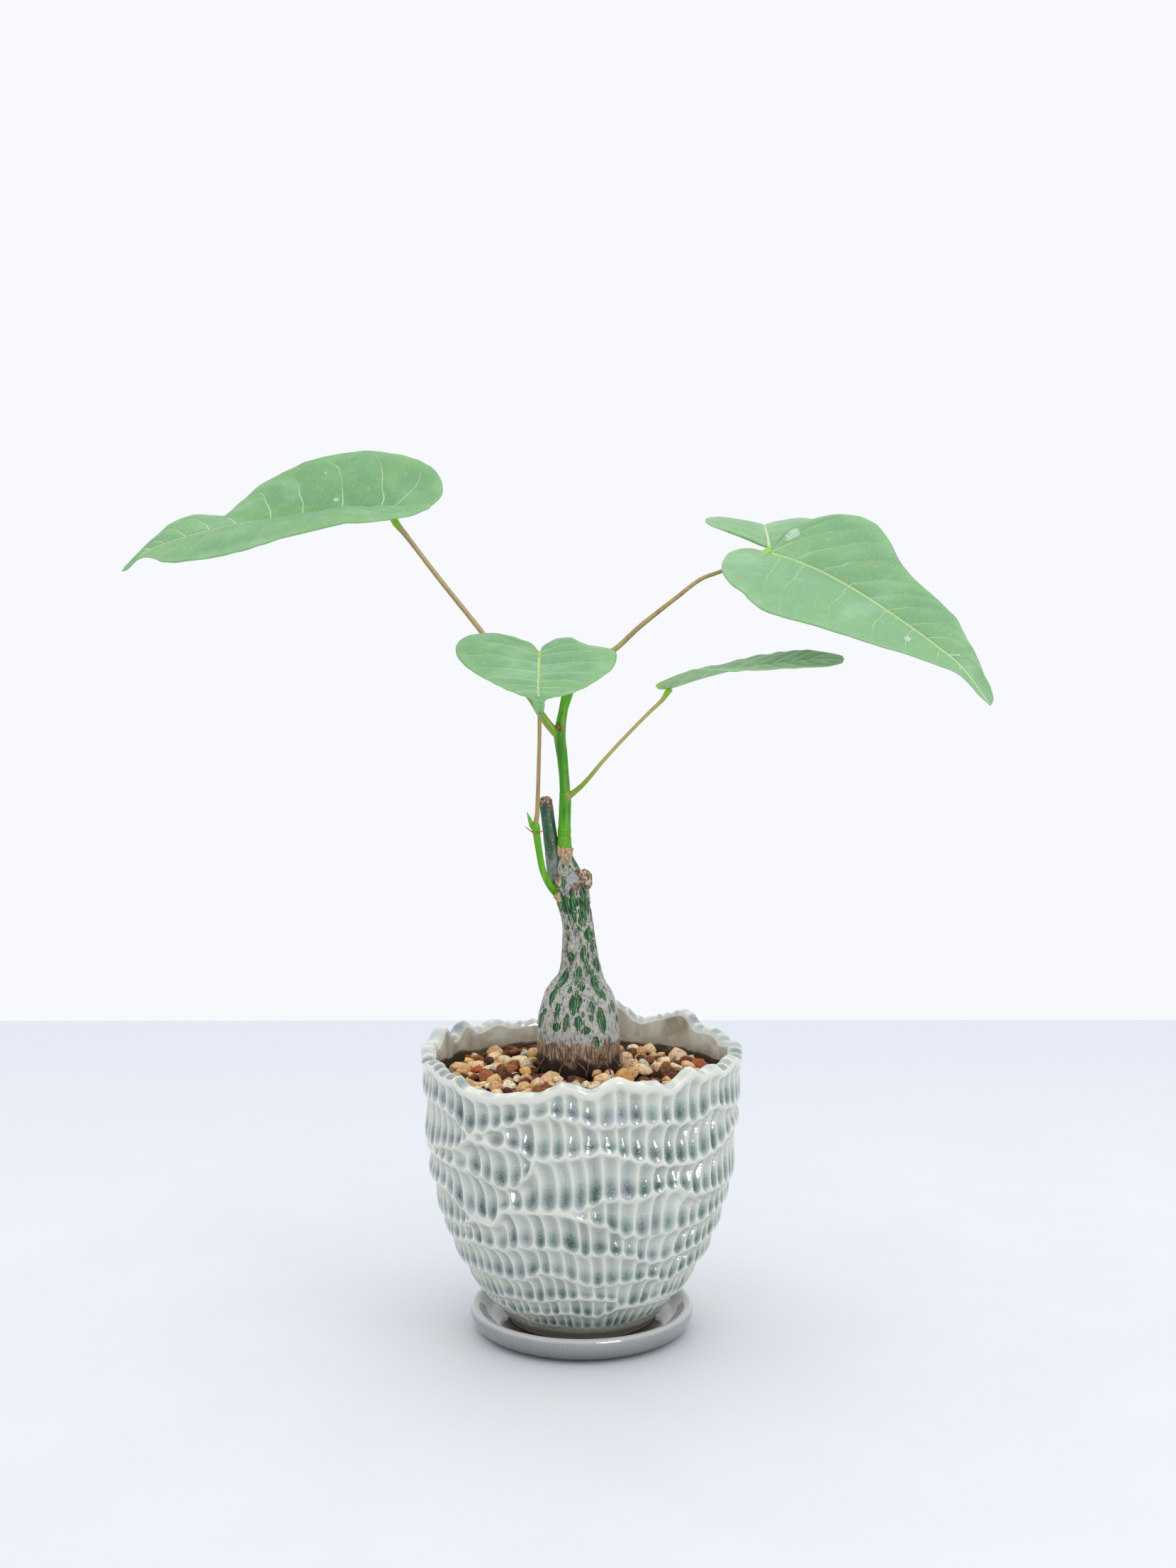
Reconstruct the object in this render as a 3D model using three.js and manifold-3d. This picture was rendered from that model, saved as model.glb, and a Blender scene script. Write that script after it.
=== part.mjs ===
// A young caudex plant with heart-shaped leaves, in a carved and glazed stoneware bowl on a round saucer.
// Millimetres, +Z up. The origin is on the table, under the middle of the saucer; the viewer's side is -Y.
import * as THREE from 'three';
import { mergeVertices } from 'three/addons/utils/BufferGeometryUtils.js';
import Module from 'manifold-3d';

const wasm = await Module();
wasm.setup();

// Driving dimensions
const GAP = 0.3; // clearance between pieces that touch
const SAUCER_FLOOR = 4.0; // thickness of the saucer under the bowl
const FOOT_BOTTOM = SAUCER_FLOOR + GAP; // underside of the bowl's foot ring
const FOOT_RADIUS = 26.8; // outer radius of the foot ring
const FOOT_INNER_RADIUS = 21; // inner radius of the foot ring
const FOOT_RECESS = 3; // how far the bowl's floor stands above the foot ring's underside
const DRAIN_RADIUS = 6; // drain hole in the bowl's floor
const BOWL_FLOOR = 11; // inside height of the bowl's floor
const CAVITY_RADIUS = 53; // inside radius of the bowl at its mouth
const NET_SIZE = 24; // square net over the drain hole
const NET_THICKNESS = 0.8;
const LEAF_THICKNESS = 0.7;
const FLUTES = 66; // carved flutes round the bowl in every band
const RIDGE_PROUD = 0.3; // how far a band's upper ridge stands out
const FLUTE_DEPTH = 1.7; // deepest point of a flute
const MIN_BAND = 0.9; // least height of a band where two ridges run together
const GRAIN_COUNT = 104; // pumice and clay grains on the soil
const SEED = 7;

// Solids and meshes

const asSolid = (source) => {
  const plain = source.clone();
  plain.deleteAttribute('normal');
  plain.deleteAttribute('uv');
  const merged = mergeVertices(plain, 1e-4);
  return new wasm.Manifold(new wasm.Mesh({
    numProp: 3,
    vertProperties: Float32Array.from(merged.attributes.position.array),
    triVerts: Uint32Array.from(merged.index.array),
  }));
};

const asGeometry = (solid) => {
  const mesh = solid.getMesh();
  const geometry = new THREE.BufferGeometry();
  geometry.setAttribute('position', new THREE.BufferAttribute(mesh.vertProperties, 3));
  geometry.setIndex(new THREE.BufferAttribute(mesh.triVerts, 1));
  return geometry;
};

// The largest body of a solid, so that a cut leaves no loose scrap.
const mainBody = (solid) => solid.decompose().sort((a, b) => b.volume() - a.volume())[0];

const group = new THREE.Group();

function addPiece(name, solid, color, roughness) {
  const geometry = asGeometry(mainBody(solid));
  geometry.computeVertexNormals();
  const piece = new THREE.Mesh(geometry, new THREE.MeshStandardMaterial({ color, roughness, metalness: 0 }));
  piece.name = name;
  group.add(piece);
}

// A closed skin over a list of rings with the same number of points, from the lower cap to the upper one.
function skin(rings) {
  const sides = rings[0].length;
  const positions = [];
  const index = [];
  const centre = (ring) => ring.reduce((sum, p) => sum.add(p), new THREE.Vector3()).divideScalar(sides);
  for (const point of [centre(rings[0]), ...rings.flat(), centre(rings.at(-1))]) positions.push(...point);
  const last = 1 + rings.length * sides;
  const at = (row, side) => 1 + row * sides + (side % sides);
  for (let side = 0; side < sides; side += 1) {
    index.push(0, at(0, side + 1), at(0, side));
    for (let row = 0; row + 1 < rings.length; row += 1) {
      index.push(at(row, side), at(row, side + 1), at(row + 1, side));
      index.push(at(row + 1, side), at(row, side + 1), at(row + 1, side + 1));
    }
    index.push(last, at(rings.length - 1, side), at(rings.length - 1, side + 1));
  }
  const geometry = new THREE.BufferGeometry();
  geometry.setAttribute('position', new THREE.Float32BufferAttribute(positions, 3));
  geometry.setIndex(index);
  return geometry;
}

// A straight-line reading of a list of [x, value] pairs.
function read(pairs, x) {
  if (x <= pairs[0][0]) return pairs[0][1];
  const next = pairs.findIndex((pair) => pair[0] >= x);
  if (next < 0) return pairs.at(-1)[1];
  const [x0, y0] = pairs[next - 1];
  const [x1, y1] = pairs[next];
  return y0 + ((y1 - y0) * (x - x0)) / (x1 - x0);
}

const turned = (profile, segments) => asSolid(new THREE.LatheGeometry(
  profile.map(([radius, z]) => new THREE.Vector2(radius, z)), segments).rotateX(Math.PI / 2));

// Saucer: a thick glazed dish with a rounded lip and a full flat underside

const saucerProfile = [[0, 0], [33, 0], [37.2, 1.2], [40, 3.8], [41, 7], [40.6, 8.8], [39.3, 9.6], [38, 9.3],
  [37.2, 8], [36.6, 6], [35.6, 4.6], [34.2, SAUCER_FLOOR], [0, SAUCER_FLOOR]];
addPiece('saucer', turned(saucerProfile, 44), 0x9b9b98, 0.35);

// Bowl: the outside is carved in bands of upright flutes between wandering ridges.
// Each ridge is a list of [degrees from the front, height]; the back repeats the front, mirrored.

const ENVELOPE = [[4, 26.8], [10, 30.3], [16, 36.3], [24, 42.1], [34, 47.4], [46, 51.8], [60, 55.4],
  [76, 57], [92, 57.6], [106, 58.2], [115, 58.4]];
const RIM = [[-180, 105], [-163, 104], [-156, 103.5], [-150, 103], [-143, 106], [-133, 103], [-125, 108.9],
  [-118, 100.7], [-111, 109.7], [-100, 104], [-90, 107], [-78, 102], [-68, 106], [-58, 103], [-50, 104],
  [-45, 100.5], [-38, 100.4], [-30, 100.3], [-22, 102], [-15, 102], [-8, 106], [-4, 106.5], [3, 103.3],
  [12, 108.5], [20, 105], [26, 106], [32, 102.5], [42, 109], [48, 105], [53, 107.5], [60, 105], [70, 107],
  [80, 103], [92, 107], [106, 103.6], [112, 106.5], [118, 106.2], [127, 105.1], [134, 111.1], [142, 108.2],
  [149, 106.3], [155, 104.1], [161, 107.7], [166, 111.6], [180, 105]];
const RIDGES = [
  [[-60, 91], [-50, 88.5], [-44, 84], [-32, 88], [-20, 92], [-12, 94.5], [0, 92.5], [5, 90.5], [15, 91.2],
    [30, 90], [44, 88.6], [54, 92], [70, 88.5]],
  [[-70, 74], [-62, 76], [-50, 77.5], [-44, 82.6], [-33, 81.5], [-24, 82], [-17, 78.8], [-5, 80], [8, 82],
    [18, 78.8], [30, 75.5], [45, 74.5], [60, 77], [70, 80]],
  [[-60, 60.7], [-48, 54], [-41, 55], [-35, 53], [-30, 59.3], [-10, 60.5], [0, 61.5], [8, 64.8], [20, 64],
    [31, 66.3], [38, 65.3], [45, 61.8], [60, 61]],
  [[-70, 48], [-52, 49], [-46, 52.5], [-35, 51.5], [-30, 58.5], [-10, 59.7], [-3, 58.5], [4, 56], [10, 54.5],
    [15, 51], [25, 49.7], [50, 50], [68, 52]],
  [[-70, 40], [-60, 41], [-50, 43.3], [-33, 43], [-25, 45.5], [-10, 46.3], [-5, 45.8], [0, 43.7], [10, 44],
    [20, 42], [27, 39.2], [33, 38.2], [45, 39.7], [60, 40.5], [70, 42]],
  [[-70, 30], [-60, 31], [-30, 31.5], [-24, 32.5], [-18, 36], [-8, 34.7], [0, 32.3], [4, 31], [20, 31.5],
    [33, 31.8], [38, 29.3], [43, 28.5], [50, 31], [70, 32]],
  [[-60, 19.5], [-50, 20.5], [-38, 22.3], [-20, 23], [-12, 24.8], [0, 25.5], [10, 24.6], [16, 24],
    [19, 20.7], [30, 20.3], [40, 21.3], [50, 21], [60, 19.5], [90, 18]],
  [[-90, 14], [-50, 15.5], [-40, 14.3], [-30, 16.3], [-20, 16.5], [-8, 18.2], [3, 17], [8, 16], [14, 18.3],
    [20, 19.8], [60, 18.5], [90, 17]],
  [[-90, 12], [-40, 12.5], [-33, 10.6], [-15, 11], [3, 10.2], [30, 10.2], [45, 11], [90, 11.5]],
];
const FLUTE_STEPS = [[0.42, 0.5], [0.8, 1]]; // [place down the band, share of the full depth]
const SHORT_FLUTE_STEPS = [[0.7, 0.8]]; // the same for the low bands near the foot
const SHORT_BANDS_FROM = 5;

const mirrored = (degrees) => (Math.abs(degrees) > 90 ? Math.sign(degrees) * 180 - degrees : degrees);

function ridgeHeights(degrees) {
  const heights = [read(RIM, degrees)];
  for (const ridge of RIDGES) {
    heights.push(Math.min(read(ridge, mirrored(degrees)), heights.at(-1) - MIN_BAND));
  }
  return heights;
}

// Rows of [height, radius] down the outside, for one column: a crest between two flutes or the middle of one.
function bowlColumn(degrees, columnIndex) {
  const heights = ridgeHeights(degrees);
  const rows = [[heights[0], read(ENVELOPE, heights[0])]];
  for (let band = 0; band < RIDGES.length; band += 1) {
    const inFlute = (columnIndex + band) % 2 === 0;
    for (const [place, share] of band < SHORT_BANDS_FROM ? FLUTE_STEPS : SHORT_FLUTE_STEPS) {
      const z = heights[band] + (heights[band + 1] - heights[band]) * place;
      rows.push([z, read(ENVELOPE, z) - (inFlute ? FLUTE_DEPTH * share : 0)]);
    }
    rows.push([heights[band + 1], read(ENVELOPE, heights[band + 1]) + RIDGE_PROUD]);
  }
  rows.push([8.4, 29.2], [7.6, 28], [FOOT_BOTTOM, FOOT_RADIUS]);
  return rows.reverse();
}

const bowlColumns = Array.from({ length: 2 * FLUTES }, (_, i) => {
  const degrees = -180 + (180 * i) / FLUTES;
  const turn = THREE.MathUtils.degToRad(degrees);
  return bowlColumn(degrees, i).map(([z, radius]) => (
    new THREE.Vector3(radius * Math.sin(turn), -radius * Math.cos(turn), z)));
});
const bowlRings = bowlColumns[0].map((_, row) => bowlColumns.map((column) => column[row]));

const CAVITY = [[0, BOWL_FLOOR], [24, BOWL_FLOOR], [30, 16], [38, 26], [44, 38], [48, 52], [50.5, 66],
  [52, 82], [52.8, 96], [CAVITY_RADIUS, 106], [CAVITY_RADIUS, 120], [0, 120]];
const cavity = turned(CAVITY, 44);
const footRecess = turned([[0, 0], [FOOT_INNER_RADIUS, 0], [FOOT_INNER_RADIUS, FOOT_BOTTOM + FOOT_RECESS],
  [0, FOOT_BOTTOM + FOOT_RECESS]], 44);
const drain = turned([[0, 0], [DRAIN_RADIUS, 0], [DRAIN_RADIUS, 2 * BOWL_FLOOR], [0, 2 * BOWL_FLOOR]], 24);
const bowl = asSolid(skin(bowlRings)).subtract(cavity).subtract(footRecess).subtract(drain);
addPiece('bowl', bowl, 0xcfd2c4, 0.22);

// Drain net: a small square of plastic mesh that keeps the grains in

const NET_BARS = 4; // bars each way
const NET_BAR_WIDTH = 1.6;
const netBottom = BOWL_FLOOR + GAP;
const netBar = new THREE.BoxGeometry(NET_SIZE, NET_BAR_WIDTH, NET_THICKNESS)
  .translate(0, 0, netBottom + NET_THICKNESS / 2);
let net = asSolid(netBar);
for (let bar = 0; bar < NET_BARS; bar += 1) {
  const offset = (bar / (NET_BARS - 1) - 0.5) * (NET_SIZE - NET_BAR_WIDTH);
  net = net.add(asSolid(netBar.clone().translate(0, offset, 0)));
  net = net.add(asSolid(netBar.clone().rotateZ(Math.PI / 2).translate(offset, 0, 0)));
}
addPiece('drain_net', net, 0x2b2b2b, 0.6);

// Stems: tapered tubes along smooth curves through [x, y, z, radius]

function tube(stations, sides, steps) {
  const centres = new THREE.CatmullRomCurve3(stations.map(([x, y, z]) => new THREE.Vector3(x, y, z)));
  const radii = stations.map(([, , , radius], i) => [i / (stations.length - 1), radius]);
  const rings = [];
  for (let step = 0; step <= steps; step += 1) {
    const t = step / steps;
    const along = centres.getTangent(t);
    const across = new THREE.Vector3(0, 1, 0).cross(along).normalize();
    const up = along.clone().cross(across);
    rings.push(Array.from({ length: sides }, (_, side) => {
      const turn = (2 * Math.PI * side) / sides;
      return centres.getPoint(t)
        .addScaledVector(across, Math.cos(turn) * read(radii, t))
        .addScaledVector(up, Math.sin(turn) * read(radii, t));
    }));
  }
  return asSolid(skin(rings));
}
const widened = (stations, by) => stations.map(([x, y, z, radius]) => [x, y, z, radius + by]);

// Caudex: swollen base, neck and woody trunk with a cut stub and the scar of a pruned branch, grown as one.
// Rows are [height, middle x, radius]; below the soil it tapers into a taproot.

const CAUDEX = [[60, -1, 1.5], [68, -1, 3.6], [78, -1, 7], [87, -1, 11.2], [96, -1, 14], [101.5, -1, 14.8],
  [108, -1.1, 15.1], [113, -1.2, 14.9], [118, -1.2, 14.3], [122, -1, 13.3], [126, -1, 11.8], [129, -1, 9.8],
  [131.5, -0.5, 8.2], [135.5, -0.4, 7.1], [142, -0.8, 6.3], [151, -1.5, 5.7], [156, -2.5, 5.9],
  [161, -3.2, 6.2], [166, -3.9, 5.9], [170, -4.6, 4.4], [174, -5.6, 3.1], [177.3, -6, 2.7]];
const CAUDEX_SIDES = 20;
const STUB = [[-8, 1, 162, 2.6], [-9.3, 1.2, 169, 2.8], [-10.4, 1.8, 177, 2.45], [-11.6, 2.4, 186, 2.15],
  [-12.9, 3, 195.2, 1.95]];
const SCAR = [[-2, -1, 165, 4.6], [-0.6, -4.6, 166.6, 5], [0, -6.2, 167.2, 4.2]];

const caudexBody = (extra) => asSolid(skin(CAUDEX.map(([z, x, radius]) => (
  Array.from({ length: CAUDEX_SIDES }, (_, side) => {
    const turn = (2 * Math.PI * side) / CAUDEX_SIDES;
    const reach = radius + extra;
    return new THREE.Vector3(x + reach * Math.cos(turn), reach * Math.sin(turn), z - extra);
  })))));
const caudex = caudexBody(0).add(tube(STUB, 10, 6)).add(tube(SCAR, 10, 3));
const caudexClear = caudexBody(GAP).add(tube(widened(STUB, GAP), 10, 6));
addPiece('caudex', caudex, 0x8f9384, 0.85);

// Soil: a body of potting mix with pumice and fired-clay grains on it, and a plain hole for the caudex

const WALL_CLEAR = 0.45; // across, between the soil and the bowl's wall
let seed = SEED;
const random = () => {
  seed = (seed * 16807) % 2147483647;
  return seed / 2147483647;
};
const soilTop = (x, y) => 94.5 + 3 * Math.exp(-(x * x + y * y) / 900) - 0.045 * y;

const insideWall = turned([[0, BOWL_FLOOR + GAP], [23.6, BOWL_FLOOR + GAP], [37.5, 26], [47.5, 52],
  [51.5, 82], [CAVITY_RADIUS - WALL_CLEAR, 106], [0, 106]], 26);
const SOIL_SIDES = 26;
const soilRings = [10, 90].map((z) => Array.from({ length: SOIL_SIDES }, (_, side) => {
  const turn = (2 * Math.PI * side) / SOIL_SIDES;
  const x = 54 * Math.cos(turn);
  const y = 54 * Math.sin(turn);
  return new THREE.Vector3(x, y, z > 50 ? soilTop(x, y) : z);
}));
let soil = asSolid(skin(soilRings));
for (let i = 0; i < GRAIN_COUNT; i += 1) {
  const reach = (CAVITY_RADIUS - 1) * Math.sqrt((i + 0.5) / GRAIN_COUNT);
  const turn = i * 2.39996 + 0.3 * random();
  const x = reach * Math.cos(turn);
  const y = reach * Math.sin(turn);
  const size = 3.8 + 1.2 * random();
  const grain = new THREE.CylinderGeometry(0.5, 1, 1.6, 5)
    .rotateX(Math.PI / 2)
    .scale(size, size * (0.7 + 0.3 * random()), size * (0.8 + 0.3 * random()))
    .rotateX(0.5 * (random() - 0.5))
    .rotateY(0.5 * (random() - 0.5))
    .rotateZ(6.28 * random())
    .translate(x, y, soilTop(x, y) + 0.2 + 0.9 * random());
  if (Math.hypot(x + 1, y) > 13) soil = soil.add(asSolid(grain));
}
const netSlotSize = NET_SIZE + 2 * GAP;
const netSlot = asSolid(new THREE.BoxGeometry(netSlotSize, netSlotSize, 2 * (NET_THICKNESS + 2 * GAP))
  .translate(0, 0, BOWL_FLOOR));
soil = soil.intersect(insideWall).subtract(caudexClear).subtract(netSlot);
addPiece('soil', soil, 0xc9a57c, 0.95);

// Leaves: a heart-shaped blade folded along its midrib. u runs along the midrib as a share of its length, and
// v is millimetres across. Each half has an edge of [u, v] points from the notch at the stalk round the lobe
// to the tip, a rise from the midrib in degrees along u, and a curl in degrees per millimetre across.

const EDGE_STEPS = 14;
const HALF_STEPS = 3;
const FAN = 0.3; // share of the edge whose ribs all start at the stalk

function bladePoint(leaf, half, u, v) {
  const t = THREE.MathUtils.clamp(u, 0, 1);
  const along = leaf.curve.getTangentAt(t);
  const side = new THREE.Vector3(0, 0, 1).cross(along).normalize().multiplyScalar(half.hand);
  const normal = along.clone().cross(side).multiplyScalar(half.hand);
  const start = THREE.MathUtils.degToRad(read(half.rise, u));
  const curl = THREE.MathUtils.degToRad(read(half.curl, u)) + 1e-6;
  const point = leaf.curve.getPointAt(t);
  point.addScaledVector(along, Math.min(u, 0) * leaf.length);
  point.addScaledVector(side, (Math.sin(start + curl * v) - Math.sin(start)) / curl);
  point.addScaledVector(normal, (Math.cos(start) - Math.cos(start + curl * v)) / curl);
  return point;
}

// A blade from its upper face down by a thickness. Both faces are one sheet moved along its mean normal, so
// that they can't cross where it is folded.
function blade(leaf, above, below) {
  const rows = [];
  for (let step = 0; step <= EDGE_STEPS; step += 1) {
    const t = step / EDGE_STEPS;
    const root = Math.max(0, (t - FAN) / (1 - FAN));
    const row = leaf.halves.map((half) => {
      const [edge, v] = half.outline.getPointAt(t).toArray();
      const u = edge / leaf.length;
      return Array.from({ length: HALF_STEPS }, (_, i) => {
        const share = (i + 1) / HALF_STEPS;
        return bladePoint(leaf, half, root + (u - root) * share, v * share);
      });
    });
    rows.push([...row[1].reverse(), bladePoint(leaf, leaf.halves[0], root, 0), ...row[0]]);
  }
  rows.shift(); // the first rib has no width: the next one bounds the notch
  const width = 2 * HALF_STEPS + 1;
  const stalkRow = Math.floor(FAN * EDGE_STEPS) - 1;
  for (let step = 0; step < stalkRow; step += 1) rows[step][HALF_STEPS] = rows[stalkRow][HALF_STEPS];
  rows.at(-1).fill(rows.at(-1)[HALF_STEPS]);
  const upper = new THREE.BufferGeometry();
  const corners = rows.flat().flatMap((point) => point.toArray());
  upper.setAttribute('position', new THREE.Float32BufferAttribute(corners, 3));
  const faces = [];
  for (let row = 0; row + 1 < rows.length; row += 1) {
    for (let i = 0; i + 1 < width; i += 1) {
      const a = row * width + i;
      if (i < HALF_STEPS) faces.push(a, a + 1, a + width + 1, a, a + width + 1, a + width);
      else faces.push(a, a + 1, a + width, a + 1, a + width + 1, a + width);
    }
  }
  upper.setIndex(faces);
  const sheet = mergeVertices(upper, 1e-4);
  const kept = [];
  const tri = sheet.index.array;
  for (let i = 0; i < tri.length; i += 3) {
    const [a, b, c] = [tri[i], tri[i + 1], tri[i + 2]];
    if (a !== b && b !== c && c !== a) kept.push(a, b, c);
  }
  const { position } = sheet.attributes;
  const corner = (i) => new THREE.Vector3().fromBufferAttribute(position, i);
  const facing = new THREE.Vector3();
  for (let i = 0; i < kept.length; i += 3) {
    const from = corner(kept[i]);
    facing.add(corner(kept[i + 1]).sub(from).cross(corner(kept[i + 2]).sub(from)));
  }
  facing.normalize();
  const points = [];
  for (const offset of [above, -below]) {
    for (let i = 0; i < position.count; i += 1) points.push(...corner(i).addScaledVector(facing, offset));
  }
  const count = position.count;
  const index = [...kept];
  const edges = new Map();
  for (let i = 0; i < kept.length; i += 3) {
    const triangle = kept.slice(i, i + 3);
    index.push(triangle[2] + count, triangle[1] + count, triangle[0] + count);
    triangle.forEach((from, k) => {
      const to = triangle[(k + 1) % 3];
      if (!edges.delete(`${to},${from}`)) edges.set(`${from},${to}`, [from, to]);
    });
  }
  for (const [from, to] of edges.values()) {
    index.push(from, from + count, to, to, from + count, to + count);
  }
  const geometry = new THREE.BufferGeometry();
  geometry.setAttribute('position', new THREE.Float32BufferAttribute(points, 3));
  geometry.setIndex(index);
  return asSolid(geometry);
}

function makeLeaf(midrib, left, right) {
  const curve = new THREE.CatmullRomCurve3(midrib.map((p) => new THREE.Vector3(...p)));
  const leaf = { curve, length: curve.getLength() };
  leaf.halves = [left, right].map((half, i) => ({
    ...half,
    hand: i === 0 ? 1 : -1,
    outline: new THREE.CatmullRomCurve3(half.edge.map(([u, v]) => new THREE.Vector3(u * leaf.length, v, 0))),
  }));
  return leaf;
}

const LEAVES = {
  leaf_left: makeLeaf(
    [[-67.5, 6, 299.4], [-91, 5, 298.2], [-106, 4, 296.4], [-125.5, 2, 293.4], [-143, 0, 288.7],
      [-154.5, -1, 284.2], [-162.5, -2, 277.5]],
    {
      edge: [[0, 0], [-0.07, 2], [-0.13, 8], [-0.14, 15], [-0.09, 21], [0, 24], [0.13, 27.5], [0.3, 28.5],
        [0.45, 28], [0.6, 28.5], [0.72, 25], [0.82, 19.5], [0.88, 9], [0.93, 2.5], [0.96, 1.8],
        [0.99, 1.3], [1, 0]],
      rise: [[0.15, 14], [0.5, -4], [1, -20]],
      curl: [[0, -2], [0.4, -1.2], [1, -0.4]],
    },
    {
      edge: [[0, 0], [-0.08, -0.8], [-0.14, 0.5], [-0.18, 6], [-0.18, 13], [-0.15, 20], [-0.08, 26.5],
        [0, 31], [0.08, 32], [0.18, 30], [0.32, 25.5], [0.45, 22.5], [0.57, 19], [0.68, 20], [0.77, 16.5],
        [0.85, 10], [0.92, 3], [0.96, 1.8], [0.99, 1.3], [1, 0]],
      rise: [[0, 46], [0.3, 50], [0.46, 38], [0.6, 15], [0.7, 23], [0.8, 26], [1, 10]],
      curl: [[0, -0.3]],
    },
  ),
  leaf_front: makeLeaf(
    [[-14.8, -12, 249], [-14.7, -26, 243.9], [-14.6, -41, 239.2], [-14.3, -52, 236.4], [-14, -56, 233.5],
      [-13.7, -56.5, 230.7]],
    {
      edge: [[0, 0], [-0.1, 1.2], [-0.18, 5.5], [-0.18, 10], [-0.1, 14], [-0.03, 17], [0, 21], [0.08, 26.5],
        [0.2, 27], [0.35, 25], [0.53, 20], [0.68, 15], [0.8, 8], [0.86, 2.8], [0.93, 2.2], [1, 0]],
      rise: [[0, 14], [1, 5]],
      curl: [[0, -0.6]],
    },
    {
      edge: [[0, 0], [-0.1, 1.8], [-0.18, 6.5], [-0.23, 13], [-0.22, 21], [-0.13, 27], [0, 29.3],
        [0.15, 28.5], [0.33, 24.5], [0.5, 18.5], [0.66, 11.5], [0.78, 6], [0.85, 2.8], [0.93, 2.2], [1, 0]],
      rise: [[0, 14], [1, 5]],
      curl: [[0, -0.6]],
    },
  ),
  leaflet_right_large: makeLeaf(
    [[67.3, 8, 283.8], [75, 4, 281.4], [82.7, -1, 278.2], [92.6, -9, 272.9], [105.7, -21, 264.2],
      [120.7, -34, 252.9], [128.5, -40, 246.1], [138, -44, 233.2]],
    {
      edge: [[0, 0], [-0.01, 4], [0.02, 12], [0.07, 20], [0.14, 26.5], [0.19, 28.3], [0.24, 27.5],
        [0.31, 24], [0.4, 18.5], [0.5, 15.5], [0.62, 14], [0.7, 13], [0.79, 9], [0.88, 6.3], [0.95, 5],
        [0.99, 2.5], [1, 0]],
      rise: [[0, 52], [0.3, 50], [0.6, 48], [1, 30]],
      curl: [[0, -0.5], [1, -0.3]],
    },
    {
      edge: [[0, 0], [-0.06, 1.5], [-0.1, 7], [-0.1, 15], [-0.07, 23], [0, 29], [0.1, 32], [0.2, 32.5],
        [0.3, 30], [0.42, 25], [0.55, 20], [0.67, 13.5], [0.78, 8], [0.87, 3.5], [0.95, 2], [1, 0]],
      rise: [[0, -12], [0.5, -18], [1, -25]],
      curl: [[0, -0.8], [1, -0.3]],
    },
  ),
  leaflet_right_small: makeLeaf(
    [[67.4, 11, 285.2], [67.6, 18, 288.4], [67.6, 28, 291.8], [68, 39, 293.7],
      [68.7, 50, 293.7], [69.4, 58, 292.4]],
    {
      edge: [[0, 0], [0.03, 6], [0.085, 15], [0.14, 21], [0.2, 23], [0.3, 23], [0.5, 19], [0.7, 13],
        [0.88, 5], [1, 0]],
      rise: [[0, 20], [1, 8]],
      curl: [[0, -0.3]],
    },
    {
      edge: [[0, 0], [0.04, 6], [0.135, 15], [0.26, 19], [0.36, 20], [0.52, 17], [0.7, 12], [0.88, 5],
        [1, 0]],
      rise: [[0, 12], [1, 12]],
      curl: [[0, -0.3]],
    },
  ),
  leaf_low_right: makeLeaf(
    [[30.8, -4, 236], [42.3, -6, 239.9], [54.8, -9, 243.3], [69.5, -12, 245.7], [81.7, -14, 247],
      [91.7, -15, 247.1]],
    {
      edge: [[0, 0], [-0.05, 4.5], [-0.085, 10], [-0.06, 17], [0.05, 23], [0.2, 26.5], [0.45, 22],
        [0.65, 16], [0.8, 11], [0.9, 7], [0.96, 3.5], [0.99, 1.6], [1, 0]],
      rise: [[0, 8], [0.4, 8], [0.65, 11], [0.8, 16], [1, 16]],
      curl: [[0, -0.2]],
    },
    {
      edge: [[0, 0], [-0.02, 4], [-0.04, 10], [0, 17], [0.08, 22], [0.22, 25], [0.45, 20.5], [0.65, 14],
        [0.8, 8.5], [0.9, 5.5], [0.96, 3.2], [0.99, 1.5], [1, 0]],
      rise: [[0, 14], [0.25, 12], [0.45, 3], [0.55, 0], [0.7, -6], [0.85, -13], [1, -16]],
      curl: [[0, -0.3]],
    },
  ),
};
for (const [name, leaf] of Object.entries(LEAVES)) {
  addPiece(name, blade(leaf, 0, LEAF_THICKNESS), 0x6fb27c, 0.55);
}
const bladeClear = (name) => blade(LEAVES[name], GAP, LEAF_THICKNESS + GAP);

// Green growth: the main shoot, the side shoot and the leaf stalks, each cut clear of what carries it

const MAIN_SHOOT = [[-6, 0, 177.6, 2.5], [-6.1, 0.5, 187.4, 2.1], [-6, 1, 197.1, 2.2],
  [-7.3, 1, 209.1, 1.85], [-8.1, 1, 219.2, 2.15], [-6.6, 1.5, 227.4, 1.65], [-4.9, 2, 234.2, 2.05],
  [-3.7, 2.5, 239.5, 2.1], [-1.9, 3, 243.8, 1.9], [0, 3.3, 245.6, 1.2]];
const SIDE_SHOOT = [[-6.5, -2, 159.5, 1.5], [-9.3, -3, 162.1, 1.35], [-11.6, -4.5, 165.1, 1.25],
  [-13.9, -6, 170.4, 1.15], [-15.3, -7.5, 177.7, 1.15], [-16.1, -8.5, 183.5, 1.25], [-16.4, -9, 187.1, 1.4],
  [-16.4, -9, 188.6, 1.2]];
const STIPULES = [
  [[-16.6, -9.2, 185, 0.7], [-18.4, -10, 186, 0.45], [-20.2, -10.6, 187.2, 0.2]],
  [[-15.8, -9.6, 185, 0.7], [-14.3, -10.8, 185.5, 0.45], [-12.8, -11.6, 186.4, 0.2]],
  [[-17.2, -8.6, 186.5, 0.8], [-18, -8.2, 189, 0.75], [-18.8, -8, 192, 0.25]],
];
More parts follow.
